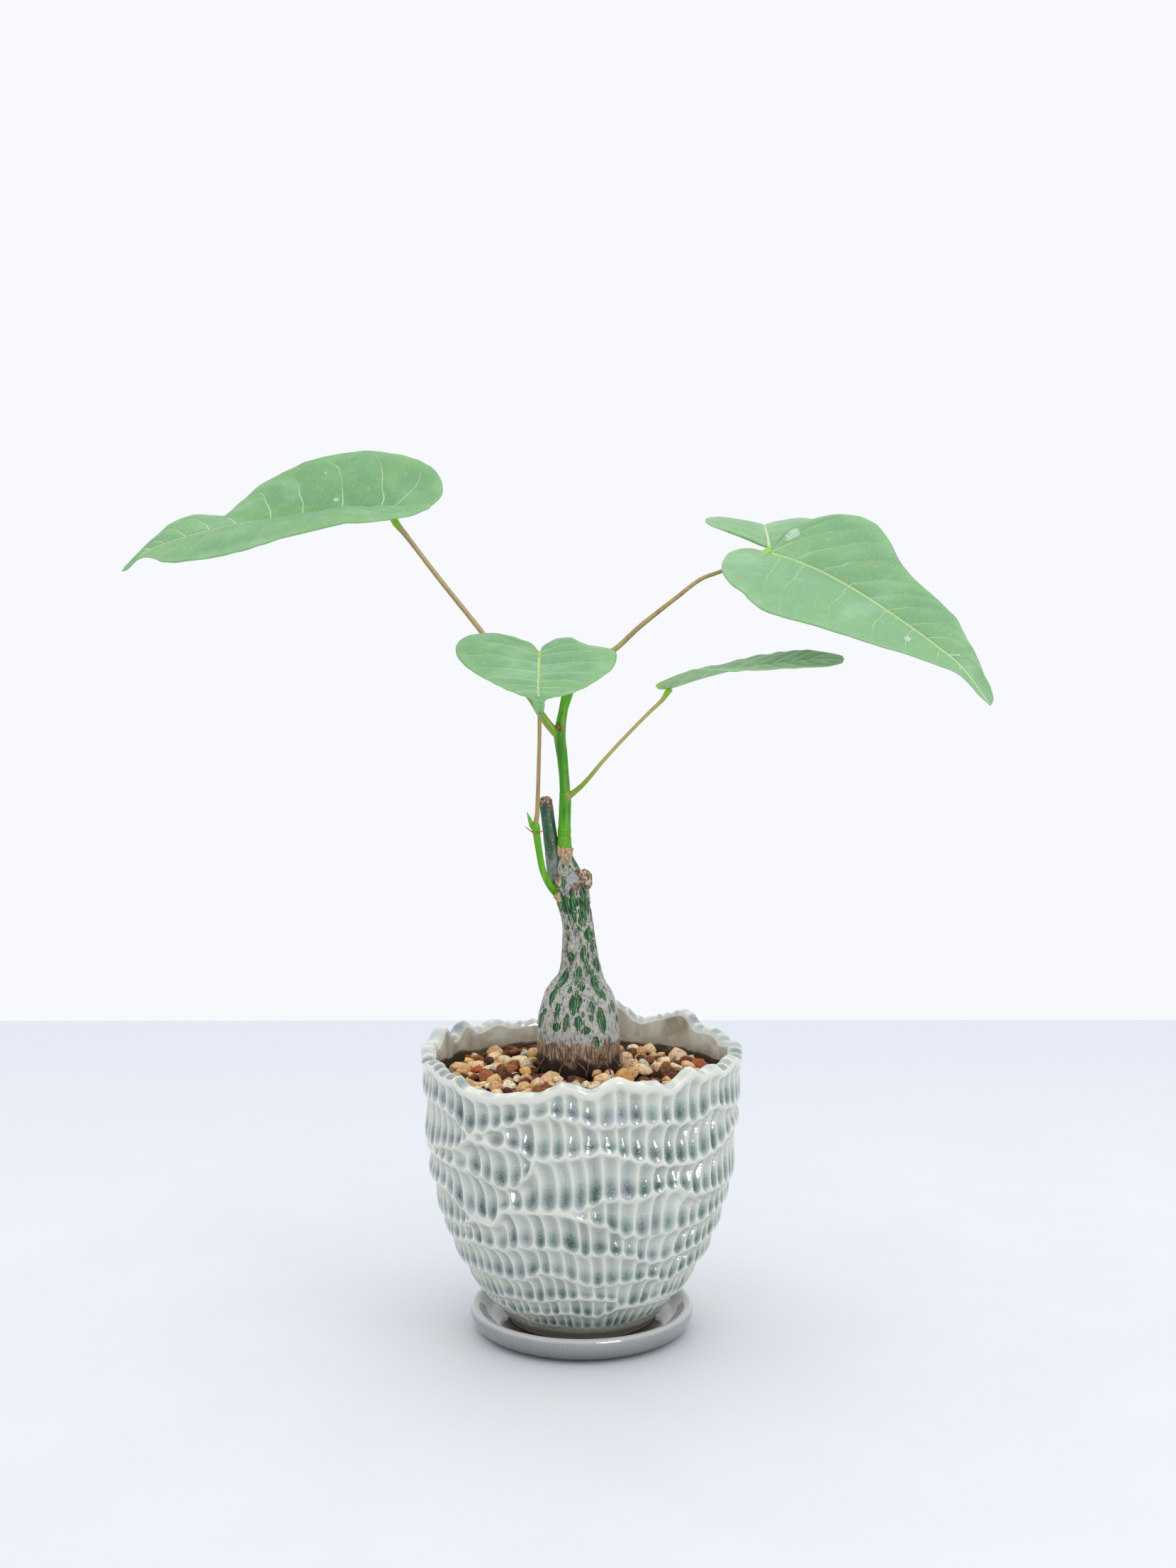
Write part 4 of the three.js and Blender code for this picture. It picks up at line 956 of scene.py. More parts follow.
callus_colour = flaky.coats([
    (callus_skin.mottle(2.4, 3).ease(0.45, 0.62, 0, 0.7), BARK_SHADE),
    (callus_skin.field("flat"), cut_face),
])
make_piece("branch_scar", *joined(callus_lumps),
           callus_skin.finish(callus_colour, relief=[(callus_skin.mottle(0.9, 4), 0.6)]),
           "bark", "caudex", {"flat": np.concatenate(callus_flat)})


# Collars. Where a new shoot breaks out of the wood, the old bark lifts round its base in a torn, dry ring
# that stays on the caudex.
COLLARS = {
    "shoot_collar": [(-5.8, -0.2, 174.8, 2.4), (-5.95, -0.1, 176.2, 2.8), (-6, 0, 177.4, 2.95),
                     (-6, 0.1, 178.4, 2.8), (-5.9, 0.1, 178.8, 2.2)],
    "side_collar": [(-7.2, -2.2, 160, 1.9), (-8.3, -2.6, 161.2, 1.85), (-9.1, -2.9, 162.1, 1.6),
                    (-9.4, -3, 162.4, 1.2)],
}
COLLAR_TAN = (196, 160, 118)

collar_skin = Finish("collar_skin", 0.9, 0.25)
collar_colour = collar_skin.mottle(1.1, 4).scale([(0.35, DRY_BROWN), (0.5, COLLAR_TAN), (0.7, DRY_PALE)])
collar_material = collar_skin.finish(collar_colour, relief=[(collar_skin.mottle(0.7, 4), 0.4)])


def collar_relief(rings, share):
    """Torn lumps that grow towards the open edge."""
    return (0.3 * waves(rings, 1.4, 41) + 0.3 * waves(rings, 0.7, 42)) * share


for name, stations in COLLARS.items():
    make_stem(name, stations, 60, 40, collar_material, "bark", "caudex", collar_relief)


# Rootlets. A few fine, dry, woody roots show where the caudex meets the mix. They grow out of its wet brown
# foot and run down between the grains.
ROOTLETS = [
    [(-3.5, -14.3, 104.5, 0.35), (-5.5, -15.6, 103.2, 0.3), (-7.5, -16.4, 101, 0.25),
     (-8, -16.6, 98.5, 0.2)],
    [(-3, -14.4, 104.2, 0.35), (-1, -15.8, 102.6, 0.3), (1.2, -16.6, 100.6, 0.25), (2, -16.8, 98.2, 0.2)],
    [(6.5, -13.6, 105, 0.5), (8.2, -14.6, 103.2, 0.45), (9.6, -15.2, 101, 0.35), (10.4, -15.4, 98.6, 0.25)],
    [(1.8, -14.7, 103, 0.3), (2.3, -15.9, 101.4, 0.25), (1.6, -16.6, 98.8, 0.2)],
    [(-12.6, -7.6, 103, 0.4), (-14.6, -9, 101.4, 0.35), (-16, -9.6, 98.6, 0.25)],
    [(11, -8.4, 103, 0.4), (13, -9.6, 101, 0.35), (14, -10.2, 98, 0.25)],
]
ROOT_BROWN = (112, 78, 54)
ROOT_DARK = (70, 44, 30)

root_skin = Finish("root_skin", 0.85, 0.3)
root_colour = root_skin.mottle(1.2, 3).ease(0.4, 0.6).blend(ROOT_DARK, ROOT_BROWN)
root_material = root_skin.finish(root_colour, relief=[(root_skin.mottle(0.5, 3), 0.15)])
rootlets = joined([swept(stations, 10, 20)[:2] for stations in ROOTLETS])
make_piece("rootlets", *rootlets, root_material, "bark", "caudex")


# Main shoot. This year's growth: smooth, glossy and bright green, with scattered brown lenticels, a ring
# where the bud scales fell and a swelling at each leaf. It grew from the top of the caudex.
MAIN_SHOOT = [(-6, 0, 176.4, 2.3), (-6.1, 0.05, 178.6, 2.55), (-6.2, 0.3, 183, 2.4),
              (-6.1, 0.5, 187.4, 2.2), (-5.9, 1, 195.2, 2.15), (-6, 1, 199.5, 1.9), (-6.3, 1, 203.9, 1.8),
              (-6.65, 1, 208.2, 1.85), (-7.1, 1, 212.5, 2.0), (-7.8, 1, 218.5, 2.1),
              (-6.6, 1.5, 227.4, 1.65), (-4.9, 2, 234.2, 2.05), (-3.7, 2.5, 239.5, 2.1),
              (-1.9, 3, 243.8, 1.9), (-0.2, 3.3, 245.6, 1.2), (0.3, 3.35, 245.9, 0.5)]
SHOOT_RINGS = [(182.6, -0.14), (184.6, 0.14), (197.5, 0.1), (220.5, 0.08)]
SHOOT_GREEN = (74, 158, 14)
SHOOT_BLUE_GREEN = (36, 112, 18)
SHOOT_LIME = (100, 176, 10)
SHOOT_PALE = (150, 198, 84)
SHOOT_BLOOM = (160, 200, 120)
LENTICEL = (96, 70, 34)
RING_MARK = (118, 88, 40)
RING_HEIGHT = 0.1826
STALK_SCAR = (-0.0042, -0.0006, 0.1972)
STALK_SCAR_TAN = (170, 140, 70)


def shoot_relief(rings, share):
    """Rings round the shoot: fallen bud scales and leaf joints."""
    swell = 0.05 * waves(rings, 2.5, 51)
    for height, amount in SHOOT_RINGS:
        swell = swell + amount * np.exp(-((rings[..., 2] - height) / 0.4) ** 2)
    return swell


def shoot_finish(name, lime_low, lime_high):
    """A finish, its colour and its relief for green shoots, which turn lime between two heights."""
    skin = Finish(name, 0.4, 0.3)
    dots = skin.cells(3.4, along=(1, 1, 0.7)).ease(0.08, 0.13, 1, 0)
    colour = skin.mottle(4, 3, (1, 1, 0.3)).ease(0.35, 0.65).blend(SHOOT_BLUE_GREEN, SHOOT_GREEN).coats([
        (skin.height().ease(lime_low, lime_high) * 0.8, SHOOT_LIME),
        (skin.mottle(1.8, 4, (1, 1, 0.12)).ease(0.5, 0.72, 0, 0.4), SHOOT_PALE),
        (skin.cells(0.9, along=(1, 1, 0.5)).ease(0.06, 0.14, 0.4, 0), SHOOT_BLOOM),
        (dots * 0.85, LENTICEL),
    ])
    return skin, colour, [(skin.mottle(1.2, 3, (1, 1, 0.3)), 0.06), (dots, 0.08)]


shoot_skin, shoot_colour, shoot_bumps = shoot_finish("shoot_skin", 0.205, 0.246)
metres = shoot_skin.height()
ring_mark = abs(metres - RING_HEIGHT).ease(0.0002, 0.0005, 1, 0) * shoot_skin.mottle(2, 2).ease(0.5, 0.56)
stalk_scar = shoot_skin.mottle(0.8, 3) * 0.0012 + shoot_skin.distance(STALK_SCAR)
shoot_colour = shoot_colour.coats([
    ((shoot_skin.mottle(5, 2) * 0.006 + metres).ease(0.188, 0.195, 0.6, 0), SHOOT_LIME),
    (ring_mark, RING_MARK),
    (stalk_scar.ease(0.0017, 0.0024, 0.9, 0), STALK_SCAR_TAN),
])
make_stem("main_shoot_skin", MAIN_SHOOT, 48, 220, shoot_skin.finish(shoot_colour, relief=shoot_bumps),
          "green_stem", "main_shoot", shoot_relief)


# Side shoot. A thinner young shoot that leaves the caudex low down on the left and turns up, with two dry
# thorn-like stipules and a green bud scale round the base of its one leaf stalk.
SIDE_SHOOT = [(-6.5, -2, 159.5, 1.5), (-9.2, -3, 162.3, 1.45), (-11.4, -4.5, 165.4, 1.35),
              (-13.7, -6, 170.4, 1.2), (-15.1, -7.5, 177.7, 1.2), (-15.9, -8.5, 183.5, 1.3),
              (-16.2, -9, 187.1, 1.4), (-16.35, -9.05, 188.4, 1.1), (-16.3, -9.1, 188.8, 0.6)]
STIPULES = [[(-16.8, -9.4, 185, 0.5), (-18, -10, 185.7, 0.22), (-19.2, -10.4, 186.6, 0.16),
             (-20.2, -10.7, 187.4, 0.06)],
            [(-16, -9.9, 185.1, 0.55), (-15.2, -10.6, 185.2, 0.3), (-14.2, -11, 185.7, 0.18),
             (-12.9, -11.6, 186.5, 0.06)]]
BUD_SCALE = [(-17.2, -8.8, 186.2, 0.7), (-17.8, -8.7, 187.6, 0.85), (-18.3, -8.5, 189.2, 0.7),
             (-18.9, -8.3, 190.8, 0.4), (-19.4, -8.2, 192.2, 0.08)]
STIPULE_BROWN = (120, 66, 56)
STIPULE_PALE = (166, 120, 96)

side_skin, side_colour, side_bumps = shoot_finish("side_skin", 0.150, 0.189)
side_material = side_skin.finish(side_colour, relief=side_bumps)
make_stem("side_shoot_skin", SIDE_SHOOT, 40, 150, side_material, "green_stem", "side_shoot",
          lambda rings, share: 0.04 * waves(rings, 2, 52))
make_stem("bud_scale", BUD_SCALE, 24, 40, side_material, "green_stem", "side_shoot")
stipule_skin = Finish("stipule_skin", 0.7, 0.3)
stipule_colour = stipule_skin.mottle(0.8, 2).blend(STIPULE_BROWN, STIPULE_PALE)
stipule_material = stipule_skin.finish(stipule_colour, relief=[(stipule_skin.mottle(0.4, 2), 0.05)])
for number, stations in enumerate(STIPULES, 1):
    make_stem(f"stipule_{number}", stations, 14, 24, stipule_material, "green_stem", "side_shoot")


# Axil bud. A small resting bud of dry brown scales, grown in the fork between the main shoot and its left
# leaf stalk.
AXIL_BUD = [(-8, -0.6, 220.9, 0.5), (-7.8, -1.3, 221.4, 0.95), (-7.7, -1.9, 221.8, 0.9),
            (-7.6, -2.3, 222.1, 0.45)]
AXIL_SCALE = [(-8.3, -1, 222.1, 0.25), (-8.4, -1.5, 223.1, 0.28), (-8.2, -1.8, 223.8, 0.1)]
BUD_DARK = (70, 36, 22)
BUD_BROWN = (140, 70, 36)
BUD_GOLD = (214, 160, 70)

bud_skin = Finish("bud_skin", 0.6, 0.4)
bud_colour = bud_skin.mottle(0.7, 3).scale([(0.35, BUD_DARK), (0.55, BUD_BROWN), (0.72, BUD_GOLD)])
bud_material = bud_skin.finish(bud_colour, relief=[(bud_skin.mottle(0.5, 3), 0.15)])
for name, stations in {"axil_bud": AXIL_BUD, "axil_scale": AXIL_SCALE}.items():
    make_stem(name, stations, 20, 20, bud_material, "green_stem", "main_shoot")


# Leaf stalks. Slender stalks that grow out of the shoots, brown where the sun catches them and green near
# the shoot. Each swells into a soft yellow-green joint under its blade, which turns the blade to the light.
STALKS = {
    "petiole_left": [(-8.2, 1, 218.4, 1.6), (-12.1, 1.4, 222.9, 1.5), (-14.8, 1.8, 226.7, 1.4),
                     (-17.1, 2.1, 230.4, 1.25), (-20, 2.5, 234.2, 1.1),
                     (-35.6, 4, 255.4, 0.95), (-50.5, 5, 274.1, 0.9), (-62.5, 5.5, 289.8, 0.95),
                     (-66.3, 5.8, 294.6, 1.35), (-67.9, 6, 299, 1.4)],
    "petiole_right": [(-1.6, 3.1, 243.9, 1.15), (4.4, 3.5, 245.8, 1.1), (11.8, 4, 249.3, 1),
                      (20.2, 4.5, 256.9, 0.9), (33.7, 5, 267.6, 0.8), (42.7, 6, 274.3, 0.75),
                      (50, 6.5, 277.1, 0.75), (59.4, 7.4, 281, 0.85), (64.8, 8.4, 283, 1.25),
                      (67.6, 9.6, 284.6, 1.4)],
    "petiole_low_right": [(-5.6, 1, 195.9, 1.2), (-2.2, 0.8, 198.6, 1.0), (0.8, 0, 201.4, 0.85),
                          (8.5, -1, 210.6, 0.7), (16.3, -2, 219.2, 0.65), (23.8, -3, 227, 0.68),
                          (28.8, -3.6, 231.9, 0.8), (30.3, -3.9, 234.2, 1.1), (31.3, -4.1, 235.8, 1.25)],
    "petiole_front": [(-16.4, -9, 187.6, 1), (-15.8, -9.3, 191.5, 0.85), (-15.5, -10, 198.4, 0.75),
                      (-15.1, -11, 210, 0.7), (-14.8, -12, 221.6, 0.7), (-14.8, -12.6, 234.3, 0.75),
                      (-14.8, -13, 245.5, 0.95), (-14.8, -13.6, 248.4, 1.05)],
}
STALK_BROWN = (158, 132, 84)
STALK_RED = (140, 104, 82)
STALK_OLIVE = (160, 152, 74)
STALK_STRAW = (190, 178, 108)
STALK_GREEN = (132, 162, 44)
# How far up from its base each stalk is green, as a share of its length.
STALK_GREENING = {"petiole_left": 0.25, "petiole_right": 0.2, "petiole_low_right": 0.4,
                  "petiole_front": 0.02}
# How far each stalk has paled to straw.
STALK_PALING = {"petiole_left": 0.12, "petiole_right": 0.12, "petiole_low_right": 0.72,
                "petiole_front": 0.12}
JOINT_GREEN = (138, 192, 22)
STALK_FUZZ = (206, 196, 130)

stalk_skin = Finish("stalk_skin", 0.42)
stalk_colour = stalk_skin.mottle(1.4, 3, (1, 1, 0.15))
stalk_colour = stalk_colour.scale([(0.3, STALK_RED), (0.5, STALK_BROWN), (0.7, STALK_OLIVE)]).coats([
    (stalk_skin.field("straw"), STALK_STRAW),
    (stalk_skin.field("green"), STALK_GREEN),
    (stalk_skin.field("share").ease(0.9, 0.955), JOINT_GREEN),
    (stalk_skin.cells(0.6).ease(0.1, 0.25, 0.25, 0), STALK_FUZZ),
])
stalk_material = stalk_skin.finish(stalk_colour, relief=[(stalk_skin.mottle(0.7, 3, (1, 1, 0.3)), 0.08)])


def stalk_relief(rings, share):
    """A slight unevenness, and a lip where the joint starts."""
    return 0.03 * waves(rings, 1.6, 61) + 0.05 * np.exp(-((share - 0.9) / 0.01) ** 2)


for name, stations in STALKS.items():
    stalk_points, stalk_faces, stalk_share = swept(stations, 32, 200, stalk_relief)
    greening = 1 - ease(stalk_share, 0.4 * STALK_GREENING[name], STALK_GREENING[name])
    make_piece(name + "_skin", stalk_points, stalk_faces, stalk_material, "leaf_stalk", name,
               {"share": stalk_share, "green": greening, "straw": STALK_PALING[name] + 0 * stalk_share})


# Leaves. Thin, soft, heart-shaped blades, folded a little along a pale midrib and grown on the joints of
# the stalks. Side veins fan into the two lobes and run to the margin; the blade puckers between them.
EDGE_STEPS = 190
HALF_STEPS = 34
FAN = 0.3
BLADE_THICKNESS = 0.35
MARGIN_RUFFLE = 0.3
VEIN_GROOVE = 0.22
RIB_WIDTH = 0.47
LEAVES = {
    "leaf_left": {
        "midrib": [(-67.5, 6, 299.4), (-91, 5, 298.2), (-106, 4, 296.4), (-125.5, 2, 293.4),
                   (-143, 0, 288.7), (-154.5, -1, 284.2), (-162.5, -2, 277.5)],
        "edge": ([(0, 0), (-0.07, 2), (-0.13, 8), (-0.14, 15), (-0.09, 21), (0, 24), (0.13, 27.5),
                  (0.3, 28.5), (0.45, 28), (0.6, 28.5), (0.72, 25), (0.82, 19.5), (0.88, 9), (0.93, 2.6),
                  (0.96, 2.5), (0.985, 2.2), (1, 0)],
                 [(0, 0), (-0.08, -0.8), (-0.14, 0.5), (-0.18, 6), (-0.18, 13), (-0.15, 20), (-0.08, 26.5),
                  (0, 31), (0.08, 32), (0.18, 30), (0.32, 25.5), (0.45, 22.5), (0.57, 19), (0.68, 20),
                  (0.77, 16.5), (0.85, 10), (0.92, 3), (0.96, 2.5), (0.985, 2.2), (1, 0)]),
        "rise": ([(0.15, 14), (0.5, -4), (1, -20)],
                 [(0, 46), (0.3, 50), (0.46, 38), (0.6, 15), (0.7, 23), (0.8, 26), (1, 10)]),
        "curl": ([(0, -2), (0.4, -1.2), (1, -0.4)], [(0, -0.3)]),
        "veins": ([0.08, 0.2, 0.33, 0.46, 0.57, 0.66, 0.74, 0.81, 0.87],
                  [0.08, 0.2, 0.325, 0.422, 0.52, 0.6, 0.69, 0.755, 0.818, 0.874, 0.91]),
        "clear": (0.35, 1),
        "rib_end": 0.93,
        "burns": [(-98.3, 19.8, 313.6, 0.6), (-76.4, 12.9, 306.4, 0.7), (-73.9, 14.3, 307.7, 0.5),
                  (-93.6, -18.7, 293.5, 0.7)],
        "scuffs": [(-92.3, 18.4, 312.2, 0.7), (-87.6, 8.8, 302.4, 1.1)],
    },
    "leaf_front": {
        "midrib": [(-14.8, -12, 249), (-14.7, -26, 243.9), (-14.6, -41, 239.2), (-14.3, -52, 236.4),
                   (-14, -56, 233.5), (-13.7, -56.6, 230)],
        "edge": ([(0, 0), (-0.1, 1.2), (-0.18, 5.5), (-0.18, 10), (-0.1, 14), (-0.03, 17), (0, 21),
                  (0.08, 26.5), (0.2, 27), (0.35, 25), (0.53, 20), (0.68, 15.3), (0.8, 9.2), (0.84, 4.6),
                  (0.87, 2.2), (0.94, 1.7), (1, 0)],
                 [(0, 0), (-0.1, 1.8), (-0.18, 6.5), (-0.23, 13), (-0.22, 21), (-0.13, 27), (0, 29.3),
                  (0.15, 28.5), (0.33, 24.5), (0.5, 18.5), (0.66, 12.4), (0.78, 7.4), (0.83, 4),
                  (0.87, 2.2), (0.94, 1.7), (1, 0)]),
        "rise": ([(0, 14), (1, 5)], [(0, 14), (1, 5)]),
        "curl": ([(0, -0.6)], [(0, -0.6)]),
        "veins": ([0.07, 0.2, 0.34, 0.46, 0.56, 0.65, 0.73, 0.8],
                  [0.06, 0.19, 0.32, 0.43, 0.54, 0.64, 0.72, 0.79]),
        "clear": (0.8, 0.8),
        "rib_end": 0.8,
        "burns": [(-14.2, -53.2, 235.7, 0.6)],
    },
    "leaflet_right_large": {
        "midrib": [(67.3, 8, 283.8), (75, 4, 281.4), (82.7, -1, 278.2), (92.6, -9, 272.9),
                   (105.7, -21, 264.2), (120.7, -34, 252.9), (128.5, -40, 246.1), (138, -44, 233.2)],
        "edge": ([(0, 0), (-0.01, 4), (0.02, 12), (0.07, 20), (0.14, 26.5), (0.19, 28.3), (0.24, 27.5),
                  (0.31, 24), (0.4, 18.5), (0.5, 15.5), (0.62, 14), (0.7, 13), (0.79, 9), (0.88, 6.3),
                  (0.95, 5), (0.99, 2.5), (1, 0)],
                 [(0, 0), (-0.06, 1.5), (-0.1, 7), (-0.1, 15), (-0.07, 23), (0, 29), (0.1, 32), (0.2, 32.5),
                  (0.3, 30), (0.42, 25), (0.55, 20), (0.67, 13.5), (0.78, 8), (0.87, 3.5), (0.95, 2),
                  (1, 0)]),
        "rise": ([(0, 52), (0.3, 50), (0.6, 48), (1, 30)], [(0, -12), (0.5, -18), (1, -25)]),
        "curl": ([(0, -0.5), (1, -0.3)], [(0, -0.8), (1, -0.3)]),
        "veins": ([0.07, 0.2, 0.3, 0.363, 0.44, 0.524, 0.594, 0.65, 0.72, 0.776, 0.84],
                  [0.08, 0.2, 0.33, 0.395, 0.53, 0.65, 0.735, 0.82, 0.88]),
        "clear": (0.85, 0.65),
        "faded": (0.2, 0.28),
        "rib_end": 1.1,
        "burns": [(102.2, -6, 280.7, 0.8), (103.6, -8, 279, 0.7), (93, -8, 274.3, 0.7),
                  (107.8, -12.1, 276.1, 0.6), (77.9, -17.1, 269, 0.6), (55.5, -11, 275.1, 0.7),
                  (112, -32, 256.8, 0.6)],
        "scuffs": [(76.4, 11.5, 290.6, 1.9), (74.5, 10.3, 289, 1.5), (111.2, -33, 255.2, 1.3)],
    },
    "leaflet_right_small": {
        "midrib": [(67.4, 11, 285.2), (67.6, 18, 288.4), (67.6, 28, 291.8), (68, 39, 293.7),
                   (68.7, 50, 293.7), (69.4, 58, 292.4)],
        "edge": ([(0, 0), (0.03, 6), (0.085, 15), (0.14, 21), (0.2, 23), (0.3, 23), (0.5, 19),
                  (0.7, 13), (0.88, 5), (1, 0)],
                 [(0, 0), (0.04, 6), (0.135, 15), (0.26, 19), (0.36, 20), (0.52, 17), (0.7, 12),
                  (0.88, 5), (1, 0)]),
        "rise": ([(0, 20), (1, 8)], [(0, 12), (1, 12)]),
        "curl": ([(0, -0.3)], [(0, -0.3)]),
        "veins": ([0.1, 0.24, 0.36, 0.47, 0.57, 0.66, 0.74, 0.82, 0.89],
                  [0.12, 0.27, 0.4, 0.52, 0.63, 0.73, 0.82]),
        "clear": (0.4, 0.4),
        "faded": (0.2, 0.2),
        "rib_end": 1.1,
    },
    "leaf_low_right": {
        "midrib": [(30.8, -4, 236), (42.3, -6, 239.9), (54.8, -9, 243.3), (69.5, -12, 245.7),
                   (81.7, -14, 247), (91.7, -15, 247.1)],
        "edge": ([(0, 0), (-0.05, 4.5), (-0.085, 10), (-0.06, 17), (0.05, 23), (0.2, 26.5), (0.45, 22),
                  (0.65, 16), (0.8, 11), (0.9, 7.6), (0.96, 5.4), (0.99, 3.4), (1, 0)],
                 [(0, 0), (-0.02, 4), (-0.04, 10), (0, 17), (0.08, 22), (0.22, 25), (0.45, 20.5),
                  (0.65, 14), (0.8, 9.5), (0.9, 7.4), (0.96, 5.6), (0.99, 3.6), (1, 0)]),
        "rise": ([(0, 8), (0.4, 8), (0.65, 11), (0.8, 16), (1, 16)],
                 [(0, 14), (0.25, 12), (0.45, 3), (0.55, 0), (0.7, -6), (0.85, -13), (1, -16)]),
        "curl": ([(0, -0.2)], [(0, -0.3)]),
        "veins": ([0.07, 0.2, 0.33, 0.45, 0.56, 0.65, 0.73, 0.8, 0.87],
                  [0.07, 0.21, 0.34, 0.44, 0.53, 0.61, 0.69, 0.76, 0.83, 0.9]),
        "clear": (0.9, 0.9),
        "fresh": 0.85,
        "rib_end": 0.95,
        "burns": [(89.4, -11.3, 248.1, 0.7)],
    },
}
BLADE_GREEN = (104, 155, 94)
BLADE_BLUE_GREEN = (94, 146, 97)
BLADE_YOUNG = (136, 184, 118)
BLADE_FADE_AND_SHEEN = (152, 192, 152)
BLADE_FRESH = (168, 204, 44)
BLADE_VEIN = (192, 218, 162)
BLADE_MIDRIB = (214, 234, 170)
BLADE_SPOT = (176, 156, 90)
BLADE_SCUFF = (196, 216, 196)
UNDERSIDE = (150, 196, 118)


def blade_points(midrib, hand, rise, curl, u, v):
    """Points on one half of a blade: u along the midrib as a share, v across it in millimetres."""
    share = np.linspace(0, 1, len(midrib))
    along = unit(np.gradient(midrib, axis=0))
    t = np.clip(u, 0, 1)
    point = np.stack([np.interp(t, share, column) for column in midrib.T], axis=-1)
    heading = np.stack([np.interp(t, share, column) for column in along.T], axis=-1)
    sideways = hand * unit(np.cross((0, 0, 1), heading))
    normal = hand * np.cross(heading, sideways)
    start = np.radians(read(rise, u))
    bend = np.radians(read(curl, u)) + 1e-6
    length = np.linalg.norm(np.diff(midrib, axis=0), axis=1).sum()
    point = point + heading * (np.minimum(u, 0) * length)[..., None]
    point = point + sideways * ((np.sin(start + bend * v) - np.sin(start)) / bend)[..., None]
    point = point + normal * ((np.cos(start) - np.cos(start + bend * v)) / bend)[..., None]
    return point


def near_marks(points, marks):
    """One at each mark, falling to nothing two radii away; the marks are (x, y, z, radius)."""
    value = np.zeros(points.shape[:2])
    for x, y, z, size in marks:
        value = np.maximum(value, 1 - np.linalg.norm(points - (x, y, z), axis=-1) / (2 * size))
    return value


def blade_half(leaf, half, seed):
    """A grid over one half of a blade, along it by across it, and what its finish reads at each point."""
    midrib = smooth_line(leaf["midrib"], 240)
    length = np.linalg.norm(np.diff(midrib, axis=0), axis=1).sum()
    outline = smooth_line(np.array(leaf["edge"][half]) * (length, 1), EDGE_STEPS + 1) / (length, 1)
    edge = np.linspace(0, 1, EDGE_STEPS + 1)[:, None]
    across = (np.arange(HALF_STEPS + 1) / HALF_STEPS)[None, :]
    root = np.maximum(0, (edge - FAN) / (1 - FAN))
    u = root + (outline[:, :1] - root) * across
    v = outline[:, 1:] * across
    points = blade_points(midrib, 1 if half == 0 else -1, leaf["rise"][half], leaf["curl"][half], u, v)
    veins = leaf["veins"][half]
    drift = 0.03 * across ** 1.5 + 0.035 * across ** 7
    number = np.interp(edge - drift + 0 * across, [-0.2, *veins, 1.15],
                       np.arange(-1, len(veins) + 1) * 1.0 - 0.02)
    step = np.linalg.norm(np.gradient(points, axis=0), axis=-1)
    spacing = step / np.maximum(np.gradient(number, axis=0), 1e-4)
    number = number + 0.07 * waves(points, 7, seed) * ease(v, 1, 6)
    known = {
        "vein": number,
        "spacing": np.clip(spacing, 0, 30),
        "middle": v,
        "margin": across + 0 * edge,
        "clear": leaf["clear"][half] + 0 * v,
        "faded": leaf.get("faded", (0, 0))[half] + 0 * v,
        "fresh": leaf.get("fresh", 0) * ease(across, 0.45, 0.9) * (1 - ease(edge, 0.14, 0.34)),
        "rib": np.where(root < leaf["rib_end"], RIB_WIDTH * (1 - 0.75 * root), 0) + 0 * v,
        "burn": near_marks(points, leaf.get("burns", ())),
        "scuff": near_marks(points, leaf.get("scuffs", ())),
    }
    if half == 1:
        return points[:, ::-1], {key: values[:, ::-1] for key, values in known.items()}
    return points, known


def blade_mesh(leaf, seed):
    """Both halves of a blade, with the veins sunk, the skin puffed between them and the margin ruffled."""
    fields, halves = {}, []
    for half in (0, 1):
        grid, known = blade_half(leaf, half, seed + 7)
        middle, margin = known["middle"], known["margin"]
        normal = np.cross(np.gradient(grid, axis=0), np.gradient(grid, axis=1))
        normal /= np.maximum(np.linalg.norm(normal, axis=-1, keepdims=True), 1e-9)
        normal *= np.where(normal[..., 2:] < 0, -1, 1)
        off_vein = abs(known["vein"] - np.round(known["vein"])) * known["spacing"]
        groove = np.exp(-(off_vein / 1.1) ** 2) * ease(middle, 0.5, 4) * ease(-margin, -1.0, -0.75)
        pillow = (1 - np.exp(-(off_vein / 3.5) ** 2)) * ease(middle, 1, 6) * (1 - margin ** 4)
        lift = 0.4 * pillow - VEIN_GROOVE * groove - 0.25 * np.exp(-(middle / 0.9) ** 2)
        lift = lift + 0.3 * waves(grid, 16, seed) * ease(middle, 2, 9)
        lift = lift + MARGIN_RUFFLE * waves(grid, 6, seed + 1) * margin ** 5
        lift[0] = lift[-1] = -0.25
        lift[:, -1 if half == 1 else 0] = -0.25
        grid = grid + normal * lift[..., None]
        here = grid_faces(EDGE_STEPS + 1, HALF_STEPS + 1, closed=False)[:, ::-1]
        for key, values in known.items():
            fields.setdefault(key, []).append(values.ravel()[here].ravel())
        halves.append((grid.reshape(-1, 3), here))
    return *joined(halves), {key: np.concatenate(values) for key, values in fields.items()}


